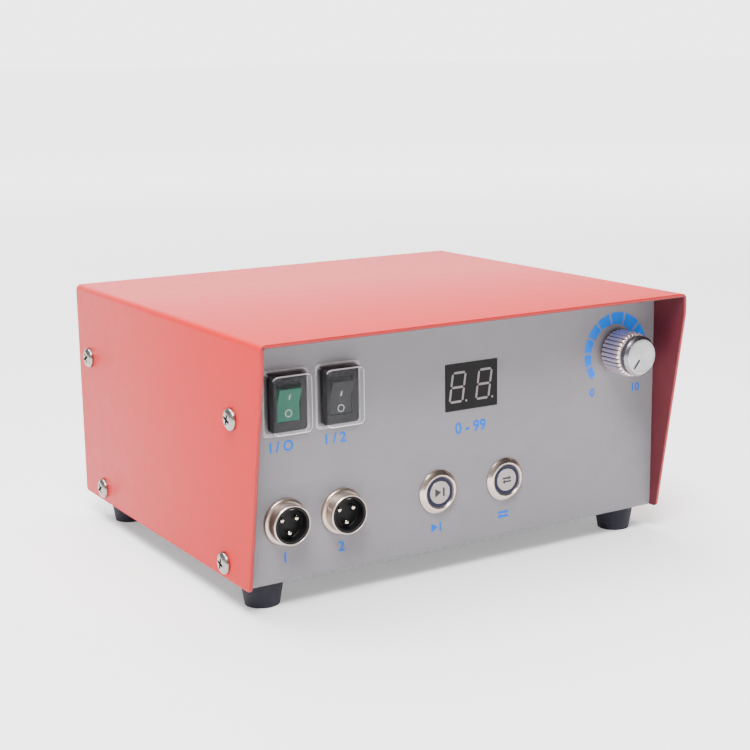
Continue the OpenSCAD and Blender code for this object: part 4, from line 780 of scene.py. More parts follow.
@dataclass
class RockerSwitch:
    """A rocker with its marks under a clear boot.

    Attributes:
        name: First part of the node names.
        x, z: Place on the panel in millimetres.
        finish, end: Finishes of the rocker and of its upper end; on the green rocker the end's darker copy is
            painted shade.
        slot: Material slot of the rocker.
        bar_z, bar_w, bar_l: Height of the bar over the pivot, its width and length.
        ring_z, ring_in, ring_out: Height of the ring over the pivot and its radii.
        ink, edge: Thickness of the marks and rounding of the rocker's edges.
        shaded_end_lean: Share of the normal upwards from which a face belongs to the upper end, which takes
            the end finish.
        pivot_y: Depth of the pivot.
        width, radius: Width of the rocker and its radius about the pivot.
        front, back: Distances of its middle from the pivot.
        swing: Whole swing in degrees.
        boot_w, boot_h, boot_deep: Sizes of the boot over its wall.
        draw_w, draw_h, bulge: Taper of the boot's walls and bulge of its front.
        wall_draw: Shares of the taper at the outlines of the wall.
        shoulder_draw: Shares of the taper at the outlines of the soft shoulder, and their rise over it.
        front_draw: Share of the taper at the flat front.
        highlight_band: Heights over the shoulder between which the painted highlight lines run round the
            front.
        lip_w, lip_h, lip_t, lip_edge: Sizes of the boot's lip and rounding of its edge.
        lift: Gap between the lip and the panel.
        open_w, open_h, open_corner: Sizes of the lip's opening.
        wall: Thickness of the boot.
        corner: Radius of the boot's corners.
    """

    name: str
    x: float
    finish: Finish
    end: Finish
    slot: str
    bar_z: float = 3.3
    ring_z: float = -3.9
    bar_w: float = 0.4
    bar_l: float = 2.3
    ring_in: float = 1.15
    ring_out: float = 1.45
    ink: float = 0.04
    edge: float = 0.3
    shaded_end_lean: float = 0.5
    z: float = 80.6
    pivot_y: float = -73.75
    width: float = 9.4
    radius: float = 7.05
    front: float = 1.3
    back: float = 2.4
    swing: float = 24.0
    boot_w: float = 18.1
    boot_h: float = 24.0
    boot_deep: float = 7.0
    draw_w: float = 2.0
    draw_h: float = 1.9
    bulge: float = 0.7
    lip_w: float = 19.7
    lip_h: float = 25.4
    lip_t: float = 0.6
    lip_edge: float = 0.25
    lift: float = 0.02
    open_w: float = 13.0
    open_h: float = 19.0
    open_corner: float = 0.6
    wall_draw: tuple[float, ...] = (0.0, 0.5, 0.93)
    shoulder_draw: tuple[Point, ...] = ((0.95, 0.0), (1.02, 0.09), (1.25, 0.2))
    front_draw: float = 1.9
    highlight_band: Point = (-0.3, 0.16)
    wall: float = 0.5
    corner: float = 2.2

    @property
    def half_swing(self) -> float:
        """Half the swing in radians."""
        return math.radians(self.swing / 2)

    def at(self, x: float, y: float, z: float) -> Vector:
        """Gives a place in metres, from millimetres about the untilted rocker's pivot."""
        return spot(self.x + x, self.z + z, self.pivot_y + y)

    def tilt(self, shape: Shape) -> Shape:
        """Tips a shape made about the untilted rocker into its position of rest."""
        return shape.turn(self.half_swing, ALONG_X, self.at(0, 0, 0))

    def build(self) -> None:
        """Builds the rocker, its marks and the boot."""
        self._rocker()
        self._marks()
        self._boot()

    def _rocker(self) -> None:
        """Builds the see-saw with its bent front."""
        slope = math.tan(self.half_swing)
        reach = self.radius * math.cos(math.asin(self.front * math.cos(self.half_swing) / self.radius)
                                       + self.half_swing)
        start = math.atan2(reach, -(self.front + reach * slope))
        end = math.acos(self.back / self.radius)
        steps = 8
        arc = [start + (end - start) * i / steps for i in range(steps + 1)]
        upper = [(self.radius * math.cos(a), self.radius * math.sin(a)) for a in arc]
        lower = [(y, -z) for y, z in reversed(upper)]
        shape = Shape()
        ring = shape.loop([self.at(-self.width / 2, y, z) for y, z in [(-self.front, 0), *upper, *lower]])
        shape.solid(ring, Vector((self.width * MM, 0, 0)))
        shape.soften(self.edge, 3, 40)
        self.tilt(shape).paint(1, lambda face: face.normal.z > self.shaded_end_lean)
        shape.place(f"{self.name}_see_saw", [self.finish, self.end], self.slot, f"{self.name}_rocker",
                    [f"{self.name}_rocker"])

    def _marks(self) -> None:
        """Prints a bar on the upper half of the rocker and a ring on the lower."""
        lean = self.half_swing
        foot = self.at(0, 0, 0)
        lift = Vector((0, -(self.front * math.cos(lean) + INK) * MM, 0))
        bar = Shape()
        outline = bar.oblong(self.bar_w, self.bar_l, self.bar_w / 4, self.at(0, 0, self.bar_z), 2)
        bar.solid(outline, Vector((0, self.ink * MM, 0)))
        bar.move(lift).turn(lean, ALONG_X, foot)
        profile = [(self.ring_in, 0), (self.ring_in, self.ink), (self.ring_out, self.ink), (self.ring_out, 0)]
        ring = Shape().spun(profile, self.at(0, 0, self.ring_z), -1, 40)
        bar.add(ring.move(lift).turn(-lean, ALONG_X, foot))
        self.tilt(bar).place(f"{self.name}_rocker_marks", [WHITE_INK], self.slot, f"{self.name}_rocker")

    def _boot(self) -> None:
        """Lofts the thin clear boot from its lip to its bulging front."""
        shape = Shape()

        def ring(width: float, height: float, corner: float, deep: float) -> list[Edge]:
            """Adds one outline of the boot at a height over the panel."""
            return shape.oblong(width, height, corner, spot(self.x, self.z, FRONT_FACE - deep), 8)

        def wall(inset: float) -> list[tuple[float, float, float, float]]:
            """Lists the outlines of the boot's wall from its lip to its front, drawn in step by step.

            Args:
                inset: Distance from the outer skin in millimetres.

            Returns:
                Width, height, corner and height over the panel of each outline.
            """
            shoulder = self.boot_deep - self.bulge
            steps = [(draw, self.lip_t + draw * (shoulder - self.lip_t)) for draw in self.wall_draw]
            steps += [(draw, shoulder + rise - 0.9 * inset) for draw, rise in self.shoulder_draw]
            steps.append((self.front_draw, self.boot_deep - inset))
            width, height = self.boot_w - 2 * inset, self.boot_h - 2 * inset
            return [(width - draw * self.draw_w, height - draw * self.draw_h, self.corner - inset, deep)
                    for draw, deep in steps]

        lip = (self.lip_w, self.lip_h, self.corner)
        bevel = (self.lip_w - 2 * self.lip_edge, self.lip_h - 2 * self.lip_edge, self.corner)
        opening = (self.open_w, self.open_h, self.open_corner)
        outer = [(*lip, self.lift), (*lip, self.lip_t - self.lip_edge), (*bevel, self.lip_t), *wall(0.0)]
        inner = [(*opening, self.lift), (*opening, self.lip_t), *wall(self.wall)]
        out_rings = [ring(*row) for row in outer]
        in_rings = [ring(*row) for row in inner]
        shape.loft(out_rings).loft(in_rings).loft([out_rings[0], in_rings[0]])
        shape.cap(out_rings[-1])
        shape.cap(in_rings[-1])
        shape.clean().face_out().paint(1, self._reflecting_roof).paint(4, self._dark_side_wall)
        shape.paint(2, self._highlight_line).paint(3, self._sheen_lip)
        shape.place(f"{self.name}_clear_boot", [VINYL, VINYL_TOP_REFLECTION, VINYL_EDGE_HIGHLIGHT, VINYL_LIP_SHEEN, VINYL_WALL_DARK_REFLECTION],
                    "boot_clear", instead=[f"{self.name}_boot"], sharp=50)

    def _reflecting_roof(self, face: Face) -> bool:
        """Tells whether a face belongs to the boot's upper wall, tinted dark maroon as painted reflection of
        the hood's underside at a glancing angle.
        """
        return abs(face.normal.z) > FACING and face.calc_center_median().z > self.z * MM

    def _highlight_line(self, face: Face) -> bool:
        """Tells whether a face belongs to the painted highlight lines round the boot's front.

        Args:
            face: Face of the boot.

        Returns:
            Whether it does.
        """
        rise = height_over_panel(face) - (self.boot_deep - self.bulge)
        low, high = self.highlight_band
        if abs(face.normal.z) > LEANING and self._outward(face):
            return low < rise < high
        return face.normal.x > LEANING and self._outward(face) and 0 < rise < high

    def _outward(self, face: Face) -> bool:
        """Tells whether a face looks away from the boot's axis."""
        away = face.calc_center_median() - spot(self.x, self.z)
        return away.x * face.normal.x + away.z * face.normal.z > 0

    def _dark_side_wall(self, face: Face) -> bool:
        """Tells whether a face belongs to the outer side wall, which is tinted dark as painted reflection of
        the black bezel seen enlarged in it.
        """
        return face.normal.x < -FACING and self._outward(face)

    def _sheen_lip(self, face: Face) -> bool:
        """Tells whether a face belongs to the boot's lip on the panel, which gets a whitish painted sheen."""
        return height_over_panel(face) < self.lip_t + SLACK


class Side(Enum):
    """The two panels, as the direction along Y in which each one faces."""

    FRONT = -1
    REAR = 1


@dataclass
class RoundSocket:
    """A three-pole round socket: nickel shell, black insert and three pins.

    Attributes:
        name: Node of the shell.
        x, z: Place on the panel in millimetres.
        side: Panel that holds it.
        flange_r, flange_t: Radius and thickness of the flange.
        dome: Steps in from the flange's rim and heights of its domed edge.
        barrel_r, out, back: Radius of the barrel and its lengths before and behind the panel.
        bore_r, recess: Radius of the bore and depth of the insert's face.
        rim, plain, lip: Chamfer of the rim, plain length behind it and bevel of the bore.
        bevel, fillet, fit: Bevels, fillets and gaps of shell and insert.
        relief_w, relief_deep: Width and depth of the groove behind the thread.
        thread_pitch, thread_deep: Pitch and depth of the fine thread.
        thread_start, thread_end: Its distances from the groove and from the rim.
        pin_r, pin_ring, pin_out: Radius of the pins, of their circle and their length.
        pin_tip: Shares of the pins' radius and depths below their ends.
        key_w, key_h, key_root: Sizes of the key and depth of its root in the wall.
        key_corner, key_edge, key_sink: Its roundings and its distance from the rim.
        pin_tail, insert_t: Length of the pins' tails and thickness of the insert.
        lining, sink: Thickness of the insert's sleeve and its depth below the rim.
    """

    name: str
    x: float
    z: float
    side: Side = Side.FRONT
    flange_r: float = 9.2
    flange_t: float = 1.6
    dome: tuple[Point, ...] = ((0.0, 0.5), (0.1, 0.9), (0.35, 1.25), (0.75, 1.52))
    barrel_r: float = 7.8
    out: float = 6.4
    back: float = 11.0
    bore_r: float = 7.25
    recess: float = 4.6
    rim: float = 0.25
    plain: float = 0.7
    lip: float = 0.06
    bevel: float = 0.1
    fillet: float = 0.2
    fit: float = 0.05
    relief_w: float = 0.6
    relief_deep: float = 0.3
    thread_pitch: float = 0.4
    thread_deep: float = 0.1
    thread_start: float = 0.1
    thread_end: float = 1.0
    pin_r: float = 1.0
    pin_ring: float = 3.6
    pin_out: float = 2.5
    pin_tip: tuple[Point, ...] = ((1.0, 0.75), (0.94, 0.4), (0.74, 0.17), (0.42, 0.04), (0.0, 0.0))
    pin_tail: float = 4.0
    insert_t: float = 9.0
    key_w: float = 2.0
    key_h: float = 1.2
    key_root: float = 0.4
    key_corner: float = 0.15
    key_edge: float = 0.12
    key_sink: float = 0.6
    lining: float = 0.9
    sink: float = 0.25

    @property
    def middle(self) -> Vector:
        """Middle of the socket on its panel."""
        return spot(self.x, self.z, FRONT_FACE if self.side is Side.FRONT else REAR_FACE)

    @property
    def face(self) -> float:
        """Height of the insert's face over the panel."""
        return self.out - self.recess

    def shell(self) -> None:
        """Builds the shell with its flange, thread, rim and key."""
        shape = Shape()
        thread = []
        barrel, flange = self.barrel_r, self.flange_r
        waist, root = barrel - self.relief_deep, self.flange_t + self.relief_w
        height = root + self.thread_start
        while height < self.out - self.thread_end:
            thread += [(barrel, height), (barrel - self.thread_deep, height + self.thread_pitch / 2)]
            height += self.thread_pitch
        profile = [(self.bore_r, -self.back), (barrel, -self.back), (barrel, 0), (flange, 0),
                   *((flange - step, rise) for step, rise in self.dome),
                   (barrel + self.fillet, self.flange_t), (waist, self.flange_t + self.bevel),
                   (waist, root - self.bevel), (barrel - self.fit, root), *thread,
                   (barrel, self.out - self.plain), (barrel, self.out - self.rim),
                   (barrel - self.rim, self.out), (self.bore_r + self.lip, self.out),
                   (self.bore_r, self.out - self.lip)]
        shape.spun(profile, self.middle, self.side.value, 96)
        shape.add(self._key())
        shape.place(f"{self.name}_shell", [NICKEL], "socket_nickel", instead=[self.name], sharp=42)

    def _key(self) -> Shape:
        """Makes the key at the top of the bore.

        Returns:
            The key.
        """
        key = Shape()
        out = self.side.value * ALONG_Y * MM
        height = self.bore_r + (self.key_root - self.key_h) / 2
        start = self.middle + out * self.face + ALONG_Z * height * MM
        ring = key.oblong(self.key_w, self.key_h + self.key_root, self.key_corner, start, 2)
        return key.solid(ring, out * (self.recess - self.key_sink)).soften(self.key_edge, 2, 50)

    def insert(self) -> Shape:
        """Makes the black insert with its thin sleeve.

        Returns:
            The insert.
        """
        outer = self.bore_r - self.fit
        inner = outer - self.lining
        back = self.face - self.insert_t
        end = self.out - self.sink
        below = end - self.bevel
        profile = [(0, back), (outer, back), (outer, below), (outer - self.bevel, end),
                   (inner + self.bevel, end), (inner, below), (inner, self.face + self.fillet),
                   (inner - self.fillet, self.face), (0, self.face)]
        return Shape().spun(profile, self.middle, self.side.value, 72, closed=False)

    def pins(self) -> Shape:
        """Makes the three pins with their rounded tips.

        Returns:
            The pins.
        """
        every = Shape()
        tip = self.face + self.pin_out
        tail = self.face - self.insert_t - self.pin_tail
        profile = [(0, tail), (self.pin_r, tail)]
        profile += [(self.pin_r * share, tip - deep) for share, deep in self.pin_tip]
        for degrees in (30, 150, 270):
            angle = math.radians(degrees)
            step = Vector((math.cos(angle), 0, math.sin(angle))) * self.pin_ring * MM
            every.add(Shape().spun(profile, self.middle + step, self.side.value, 24, closed=False))
        return every


@dataclass
class SocketSet:
    """The two motor sockets on the front and the pedal socket on the rear.

    Attributes:
        sockets: The sockets.
    """

    sockets: list[RoundSocket] = field(default_factory=lambda: [
        RoundSocket("motor_socket_1", -82.5, 34.6), RoundSocket("motor_socket_2", -57.8, 34.6),
        RoundSocket("pedal_socket", 22.0, 44.7, Side.REAR)])

    def build(self) -> None:
        """Builds the shells, and the inserts and pins as one piece each."""
        inserts, pins = Shape(), Shape()
        for socket in self.sockets:
            socket.shell()
            inserts.add(socket.insert())
            pins.add(socket.pins())
        inserts.place("socket_cups", [INSERT_PLASTIC], "insert_black", instead=["socket_inserts"])
        pins.place("socket_contacts", [PLATED_PIN], "contact_plated", instead=["socket_pins"])


@dataclass
class PushButton:
    """A metal push button with a light ring and a mark on its cap.

    Attributes:
        name: First part of the node names.
        x, z: Place on the panel in millimetres.
        bezel_r, face_r, bezel_h, rim: Radii and heights of the bezel.
        cap_r, cap_sink, cap_l: Radius, depth and length of the cap.
        collar, collar_t: Step and thickness of the cap's collar.
        play, room_l: Gap round the cap and length of the room behind its shoulder.
        bevel, cap_edge, ring_edge: Bevels of bezel, cap and light ring.
        rim_round: Steps in from the bezel's edge and heights over its rim.
        sink: Depth of the light ring, and height of the mark's foot over the cap.
        ring_out, ring_in, ring_t: Radii and depth of the light ring.
        barrel_r, back: Radius and length of the barrel.
        wire, turns: Thickness and turns of the return spring's wire.
        travel: Travel of the cap; not used.
    """

    name: str
    x: float
    z: float = 35.0
    bezel_r: float = 9.0
    face_r: float = 7.4
    bezel_h: float = 2.0
    rim: float = 0.6
    cap_r: float = 6.5
    cap_sink: float = 0.3
    cap_l: float = 6.0
    collar: float = 0.5
    collar_t: float = 1.2
    play: float = 0.08
    room_l: float = 9.5
    bevel: float = 0.1
    cap_edge: float = 0.15
    ring_edge: float = 0.12
    rim_round: tuple[Point, ...] = ((0.25, 0.16), (0.06, 0.0), (0.0, -0.2))
    sink: float = 0.02
    ring_out: float = 6.2
    ring_in: float = 4.7
    ring_t: float = 1.2
    barrel_r: float = 8.0
    back: float = 22.0
    wire: float = 0.7
    turns: int = 4
    travel: float = 1.8

    @property
    def middle(self) -> Vector:
        """Middle of the button on the panel."""
        return spot(self.x, self.z)

    @property
    def face(self) -> float:
        """Height of the cap's face over the panel."""
        return self.bezel_h - self.cap_sink

    def build(self) -> None:
        """Builds spring, bezel, cap and ring."""
        self._spring()
        self._bezel()
        self._cap()
        self._light_ring()

    @property
    def stop(self) -> float:
        """Height of the shoulder that holds the cap's collar."""
        return self.face - self.cap_l + self.collar_t

    def _bezel(self) -> None:
        """Spins the bezel with its barrel and the room for the cap."""
        bore = self.cap_r + self.play
        room = bore + self.collar
        seat = self.stop - self.room_l
        top, outer, face, bevel = self.bezel_h, self.bezel_r, self.face_r, self.bevel
        profile = [(bore, self.stop), (bore, top - 2 * bevel), (bore + 2 * bevel, top),
                   (face - 3 * bevel, top), (face, top - bevel),
                   *((outer - step, self.rim + rise) for step, rise in self.rim_round), (outer, 0),
                   (self.barrel_r, 0), (self.barrel_r, -self.back), (0, -self.back), (0, seat),
                   (room, seat), (room, self.stop)]
        shape = Shape().spun(profile, self.middle, -1, 96)
        shape.place(f"{self.name}_bezel", [BEZEL_NICKEL], "button_metal",
                    instead=[f"{self.name}_body"], sharp=30)

    def _cap(self) -> None:
        """Spins the cap with the groove of its light ring and its collar."""
        face, wall, collar = self.face, self.cap_r, self.cap_r + self.collar
        floor, shoulder, foot = face - self.ring_t, self.stop - self.play, face - self.cap_l
        bevel, edge = self.bevel, self.cap_edge
        inner, outer = self.ring_in, self.ring_out
        profile = [(0, face), (inner - bevel, face), (inner, face - bevel), (inner, floor), (outer, floor),
                   (outer, face - bevel), (outer + bevel, face), (wall - edge, face), (wall, face - edge),
                   (wall, shoulder), (collar, shoulder), (collar, foot), (0, foot)]
        shape = Shape().spun(profile, self.middle, -1, 96, closed=False)
        shape.place(f"{self.name}_push_cap", [SATIN_NICKEL], "button_metal", self.name, [f"{self.name}_cap"])

    def _light_ring(self) -> None:
        """Spins the light ring."""
        floor, edge, top = self.face - self.ring_t, self.face - self.ring_edge, self.face - self.sink
        profile = [(self.ring_in, floor), (self.ring_in, edge), (self.ring_in + self.ring_edge, top),
                   (self.ring_out - self.ring_edge, top), (self.ring_out, edge), (self.ring_out, floor)]
        shape = Shape().spun(profile, self.middle, -1, 96)
        shape.place(f"{self.name}_light_ring", [NAVY_LIGHT], "ring_navy", self.name, [f"{self.name}_ring"])

    def _spring(self) -> None:
        """Winds the return spring over the box of its part."""
        node = f"{self.name}_spring"
        low, high = (Vector(corner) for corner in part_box(node))
        axis = Vector((self.x * MM, 0, self.z * MM))
        wire, steps, sides = self.wire / 2 * MM, 24 * self.turns, 10
        start = Vector((high.x - wire, low.y + wire, axis.z))
        angles = [FULL_TURN * side / sides for side in range(sides)]
        shape = Shape()
        ring = shape.loop([start + wire * Vector((math.cos(a), math.sin(a), 0)) for a in angles])
        rise = (high.y - low.y - 2 * wire) / steps
        bmesh.ops.spin(shape.mesh, geom=corners(ring) + ring, cent=axis, axis=ALONG_Y, dvec=(0, rise, 0),
                       angle=FULL_TURN * self.turns, steps=steps)
        bmesh.ops.holes_fill(shape.mesh, edges=[e for e in shape.mesh.edges if e.is_boundary], sides=sides)
        coil = shape.clean().place(f"{self.name}_coil", [STEEL_WIRE], "spring_steel", instead=[node])
        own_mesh(coil)

    def print(self, marks: Shape) -> None:
        """Puts a flat mark, made on the panel's face at this button, on the cap."""
        marks.move(Vector((0, -(self.face + self.sink) * MM, 0)))
        marks.place(f"{self.name}_mark", [DARK_INK], "ring_navy", self.name)


@dataclass
class SpeedDial:
    """The fluted knob with its turned face and pointer, and the growing blocks of its scale.

    Attributes:
        x, z, scale_z: Axis of the knob and height of the scale's middle in millimetres.
        out, gap: Heights of the knob's face and of its lower end over the panel.
        skirt, flutes, flute_deep: Radius of the skirt, and number and depth of its grooves.
        flute_power, groove_shade_share: Power that makes the grooves narrow, and share of them that is
            painted dark as shade.
        foot_flute, top_flute: Shares of the grooves' depth at the two ends of the skirt.
        skirt_top, shoulder: Height of the skirt's front end and length of its rounding.
        neck, neck_l: Radius and length of the neck.
        head, chamfer: Radius of the head and chamfer of its edge.
        edge: Small bevel of the head's edges, and gap round the disc.
        disc, disc_t: Radius and thickness of the turned face.
        dish: Its points from rim to middle: share of its radius, step in and depth below the head.
        room, recess: Radius and depth of the hollow over the nut.
        bore, bore_top: Radius and end of the shaft's bore.
        pointer: Angle of the pointer from upright, clockwise, in degrees.
        pointer_in, pointer_out, pointer_w: Radii of the pointer's ends and its width.
        pointer_t: Thickness of the pointer.
        blocks, start, first, growth, slit: Number of blocks, and in degrees the scale's start, the first
            block's pitch, its growth from block to block and the slits between them.
        outer, inner_low, inner_high: Radii of the blocks.
    """

    x: float = 77.4
    z: float = 82.0
    scale_z: float = 81.7
    out: float = 16.5
    gap: float = 0.8
    skirt: float = 9.4
    flutes: int = 30
    flute_deep: float = 1.0
    flute_power: float = 1.6
    groove_shade_share: float = 0.3
    foot_flute: float = 0.3
    top_flute: float = 0.6
    skirt_top: float = 12.3
    shoulder: float = 2.0
    neck: float = 8.05
    neck_l: float = 0.8
    head: float = 8.45
    chamfer: float = 1.2
    edge: float = 0.05
    disc: float = 6.6
    disc_t: float = 0.8
    dish: tuple[Triple, ...] = ((1.0, 0.0, 0.12), (1.0, 0.1, 0.04), (0.5, 0.0, 0.05), (0.0, 0.0, 0.06))
    room: float = 6.95
    recess: float = 3.8
    bore: float = 3.05
    bore_top: float = 13.7
    pointer: float = -141.0
    pointer_in: float = 1.6
    pointer_out: float = 6.2
    pointer_w: float = 0.98
    pointer_t: float = 0.2
    blocks: int = 9
    start: float = -129.3
    first: float = 20.7
    growth: float = 1.6
    slit: float = 3.4
    outer: float = 16.8
    inner_low: float = 14.0
    inner_high: float = 9.7

    def build(self) -> None:
        """Builds the knob, prints the scale and inks the pointer."""
        self._knob()
        self._face()
        self._pointer()
        scale = Shape()
        for index in range(self.blocks):
            scale.add(self._block(self._edge(index), self._edge(index + 1) - self.slit))
        scale.place("dial_scale", [DIAL_INK], "chassis_grey")

    def _ring(self, radius: float, height: float, flute: float) -> list[Vector]:
        """Lists the points of one outline of the knob.

        Args:
            radius, height: Radius of the ridges and height over the panel in millimetres.
            flute: Share of the grooves' full depth.

        Returns:
            The points in metres.
        """
        steps = 10 * self.flutes
        points = []
        for step in range(steps):
            angle = FULL_TURN * step / steps
            groove = (1 - abs(math.sin(self.flutes * angle / 2))) ** self.flute_power
            reach = radius - flute * self.flute_deep * groove
            points.append(spot(self.x + reach * math.sin(angle), self.z + reach * math.cos(angle),
                               FRONT_FACE - height))
        return points

    def _knob(self) -> None:
        """Lofts the hollow, the fluted skirt with its rounded shoulder, the neck and the head."""
        shape = Shape()
        hollow = [(self.bore, self.bore_top), (self.bore, self.recess), (self.room, self.recess),
                  (self.room, self.gap)]
        skirt = [(self.skirt - self.chamfer, self.gap, self.foot_flute),
                 (self.skirt, self.gap + self.chamfer, 1.0)]
        for degrees in range(0, 91, 15):
            angle = math.radians(degrees)
            skirt.append((self.skirt - self.shoulder / 2 * (1 - math.cos(angle)),
                          self.skirt_top - self.shoulder * (1 - math.sin(angle)),
                          1 - (1 - self.top_flute) * degrees / 90))
        collar, rim, edge = self.skirt_top + self.neck_l, self.out - self.chamfer, self.edge
        flat = self.head - self.chamfer
        top = [(self.neck, self.skirt_top), (self.neck, collar), (self.head - 4 * edge, collar),
               (self.head, collar + 4 * edge), (self.head, rim - edge), (self.head - edge, rim),
               (flat, self.out - edge), (flat - 2 * edge, self.out), (self.disc + edge, self.out),
               (self.disc, self.out - edge), (self.disc, self.out - self.disc_t)]
        rows = [(*row, 0.0) for row in hollow] + skirt + [(*row, 0.0) for row in top]
        rings = [shape.loop(self._ring(*row)) for row in rows]
        shape.loft(rings)
        shape.cap(rings[0])
        shape.cap(rings[-1])
        shape.clean().face_out().paint(1, self._shaded_head).paint(2, self._front).paint(3, self._groove_shade)
        shape.place("fluted_knob", [KNOB_METAL, KNOB_HEAD_SHADE, TURNED_FACE, KNOB_GROOVE_SHADE], "knob_metal",
                    "speed_dial", ["speed_knob"], sharp=30)

    def _shaded_head(self, face: Face) -> bool:
        """Tells whether a face belongs to the polished side of the head, which is painted darker as shade and
        dark reflection.
        """
        return height_over_panel(face) > self.skirt_top + 2 * self.edge

    def _front(self, face: Face) -> bool:
        """Tells whether a face belongs to the turned rim round the disc."""
        return height_over_panel(face) > self.out - 4 * self.edge

    def _groove_shade(self, face: Face) -> bool:
        """Tells whether a face lies at the bottom of a groove, which is painted dark as shade.

        Args:
            face: Face of the knob.

        Returns:
            Whether it does.
        """
        away = face.calc_center_median() - spot(self.x, self.z)
        turn = math.atan2(away.x, away.z)
        low = abs(math.sin(self.flutes * turn / 2)) < self.groove_shade_share
        skirt = height_over_panel(face) < self.skirt_top - self.edge and away.xz.length > self.neck * MM
        return low and skirt

    def _face(self) -> None:
        """Spins the turned face, which is a little dished."""
        rim = self.disc - self.edge
        profile = [(0, self.out - self.disc_t), (rim, self.out - self.disc_t)]
        profile += [(rim * share - step, self.out - deep) for share, step, deep in self.dish]
        shape = Shape().spun(profile, spot(self.x, self.z), -1, 120, closed=False)
        shape.place("knob_disc", [TURNED_FACE], "knob_metal", "speed_dial", ["knob_face"], sharp=30)

    def _edge(self, index: int) -> float:
        """Gives the angle at which a block of the scale starts, in degrees from upright."""
        return self.start + index * self.first + self.growth * index * (index - 1) / 2

    def _inner(self, degrees: float) -> float:
        """Gives the scale's inner radius in millimetres at an angle in degrees."""
        share = (degrees - self.start) / (self._edge(self.blocks) - self.start)
        return self.inner_low + (self.inner_high - self.inner_low) * share

    def _block(self, start: float, end: float) -> Shape:
        """Makes one block of the scale.

        Args:
            start, end: Angles of its two ends in degrees.

        Returns:
            The block.
        """
        shape = Shape()
        steps = 8
        middle = spot(self.x, self.scale_z)
        inner, outer = [], []
        for step in range(steps + 1):
            degrees = start + (end - start) * step / steps
            angle = math.radians(degrees)
            way = Vector((math.sin(angle), 0, math.cos(angle)))
            inner.append(middle + way * self._inner(degrees) * MM)
            outer.append(middle + way * self.outer * MM)
        return shape.solid(shape.loop(inner + outer[::-1]), Vector((0, -INK * MM, 0)))

    def _pointer(self) -> None:
        """Inks the pointer on the turned face."""
        shape = Shape()
        height = self.out - self.pointer_t - SLACK
        middle = spot(self.x, self.z + (self.pointer_in + self.pointer_out) / 2, FRONT_FACE - height)
        ring = shape.oblong(self.pointer_w, self.pointer_out - self.pointer_in, 0.15, middle, 2)
        shape.solid(ring, Vector((0, -self.pointer_t * MM, 0)))
        shape.turn(math.radians(self.pointer), ALONG_Y, spot(self.x, self.z))
        shape.place("knob_pointer", [DARK_INK], "knob_metal", "speed_dial")


class Mark(Enum):
    """Plain marks that stand on the panel and on the push caps."""

    RUN = "run"
    SWAP = "swap"


@dataclass
class PanelPrint:
    """Plain numbers and marks printed on the front panel.

    Attributes:
        bold: Growth of the strokes as a share of the figures' height.
        type_size: Size of the type as a share of the figures' height.
        figures: Plain figures, each with its middle and height in millimetres.
        signs: Plain marks, each with its middle and half height in millimetres.
    """

    bold: float = 0.035
    type_size: float = 1.37
    figures: tuple[tuple[str, float, float, float], ...] = (
        ("I / O", -83.1, 63.6, 4.0), ("1 / 2", -60.2, 63.6, 4.0), ("1", -82.7, 20.3, 4.0),
        ("2", -58.2, 20.3, 4.0), ("0 - 99", 2.6, 59.3, 4.6), ("0", 64.9, 65.1, 3.6), ("10", 88.4, 64.8, 3.6))
    signs: tuple[tuple[Mark, float, float, float], ...] = (
        (Mark.RUN, -14.1, 20.2, 1.9), (Mark.SWAP, 18.8, 20.1, 2.2))

    def text(self, words: str, x: float, z: float, height: float) -> Shape:
        """Sets plain figures on the panel.

        Args:
            words: Figures to print.
            x, z: Middle of the print in millimetres.
            height: Height of the figures.

        Returns:
            The print.
        """
        curve = bpy.data.curves.new("figures", "FONT")
        curve.body = words
        curve.align_x = curve.align_y = "CENTER"
        curve.size = height * self.type_size * MM
        curve.offset = self.bold * height * MM
        curve.extrude = INK / 2 * MM
        curve.resolution_u = 4
        holder = bpy.data.objects.new("figures", curve)
        bpy.context.scene.collection.objects.link(holder)
        bpy.context.view_layer.update()
        mesh = bpy.data.meshes.new_from_object(holder.evaluated_get(bpy.context.evaluated_depsgraph_get()))
        shape = Shape()
        shape.mesh.from_mesh(mesh)
        bpy.data.objects.remove(holder)
        bpy.data.curves.remove(curve)
        bpy.data.meshes.remove(mesh)
        shape.turn(QUARTER_TURN, ALONG_X, Vector())
        return shape.move(spot(x, z, FRONT_FACE - INK / 2)).clean()

    def polygon(self, points: Sequence[Point], x: float, z: float) -> Shape:
        """Prints a filled outline.

        Args:
            points: Corners about the middle in millimetres.
            x, z: Middle in millimetres.

        Returns:
            The print.
        """
        shape = Shape()
        ring = shape.loop([spot(x + px, z + pz) for px, pz in points])
        return shape.solid(ring, Vector((0, -INK * MM, 0)))

    def mark(self, kind: Mark, x: float, z: float, size: float) -> Shape:
        """Prints one of the plain marks.

        Args:
            kind: Which mark.
            x, z: Its middle in millimetres.
            size: Its half height.

        Returns:
            The print.
        """
        s = size
        if kind is Mark.RUN:
            shape = self.polygon([(-1.3 * s, -s), (0.3 * s, 0), (-1.3 * s, s)], x, z)
            return shape.add(self.polygon([(0.75 * s, -s), (1.2 * s, -s), (1.2 * s, s), (0.75 * s, s)], x, z))
        arrow = [(-1.2 * s, 0.2 * s), (0.5 * s, 0.2 * s), (0.5 * s, -0.1 * s), (1.3 * s, 0.4 * s),
                 (0.5 * s, 0.9 * s), (0.5 * s, 0.6 * s), (-1.2 * s, 0.6 * s)]
        shape = self.polygon(arrow, x, z)
        return shape.add(self.polygon([(-px, -pz) for px, pz in arrow], x, z))

    def build(self) -> None:
        """Prints the numbers beside the switches, sockets, buttons and dial."""
        sheet = Shape()
        for row in self.figures:
            sheet.add(self.text(*row))
        for row in self.signs:
            sheet.add(self.mark(*row))
        sheet.place("panel_print", [BLUE_INK], "chassis_grey")


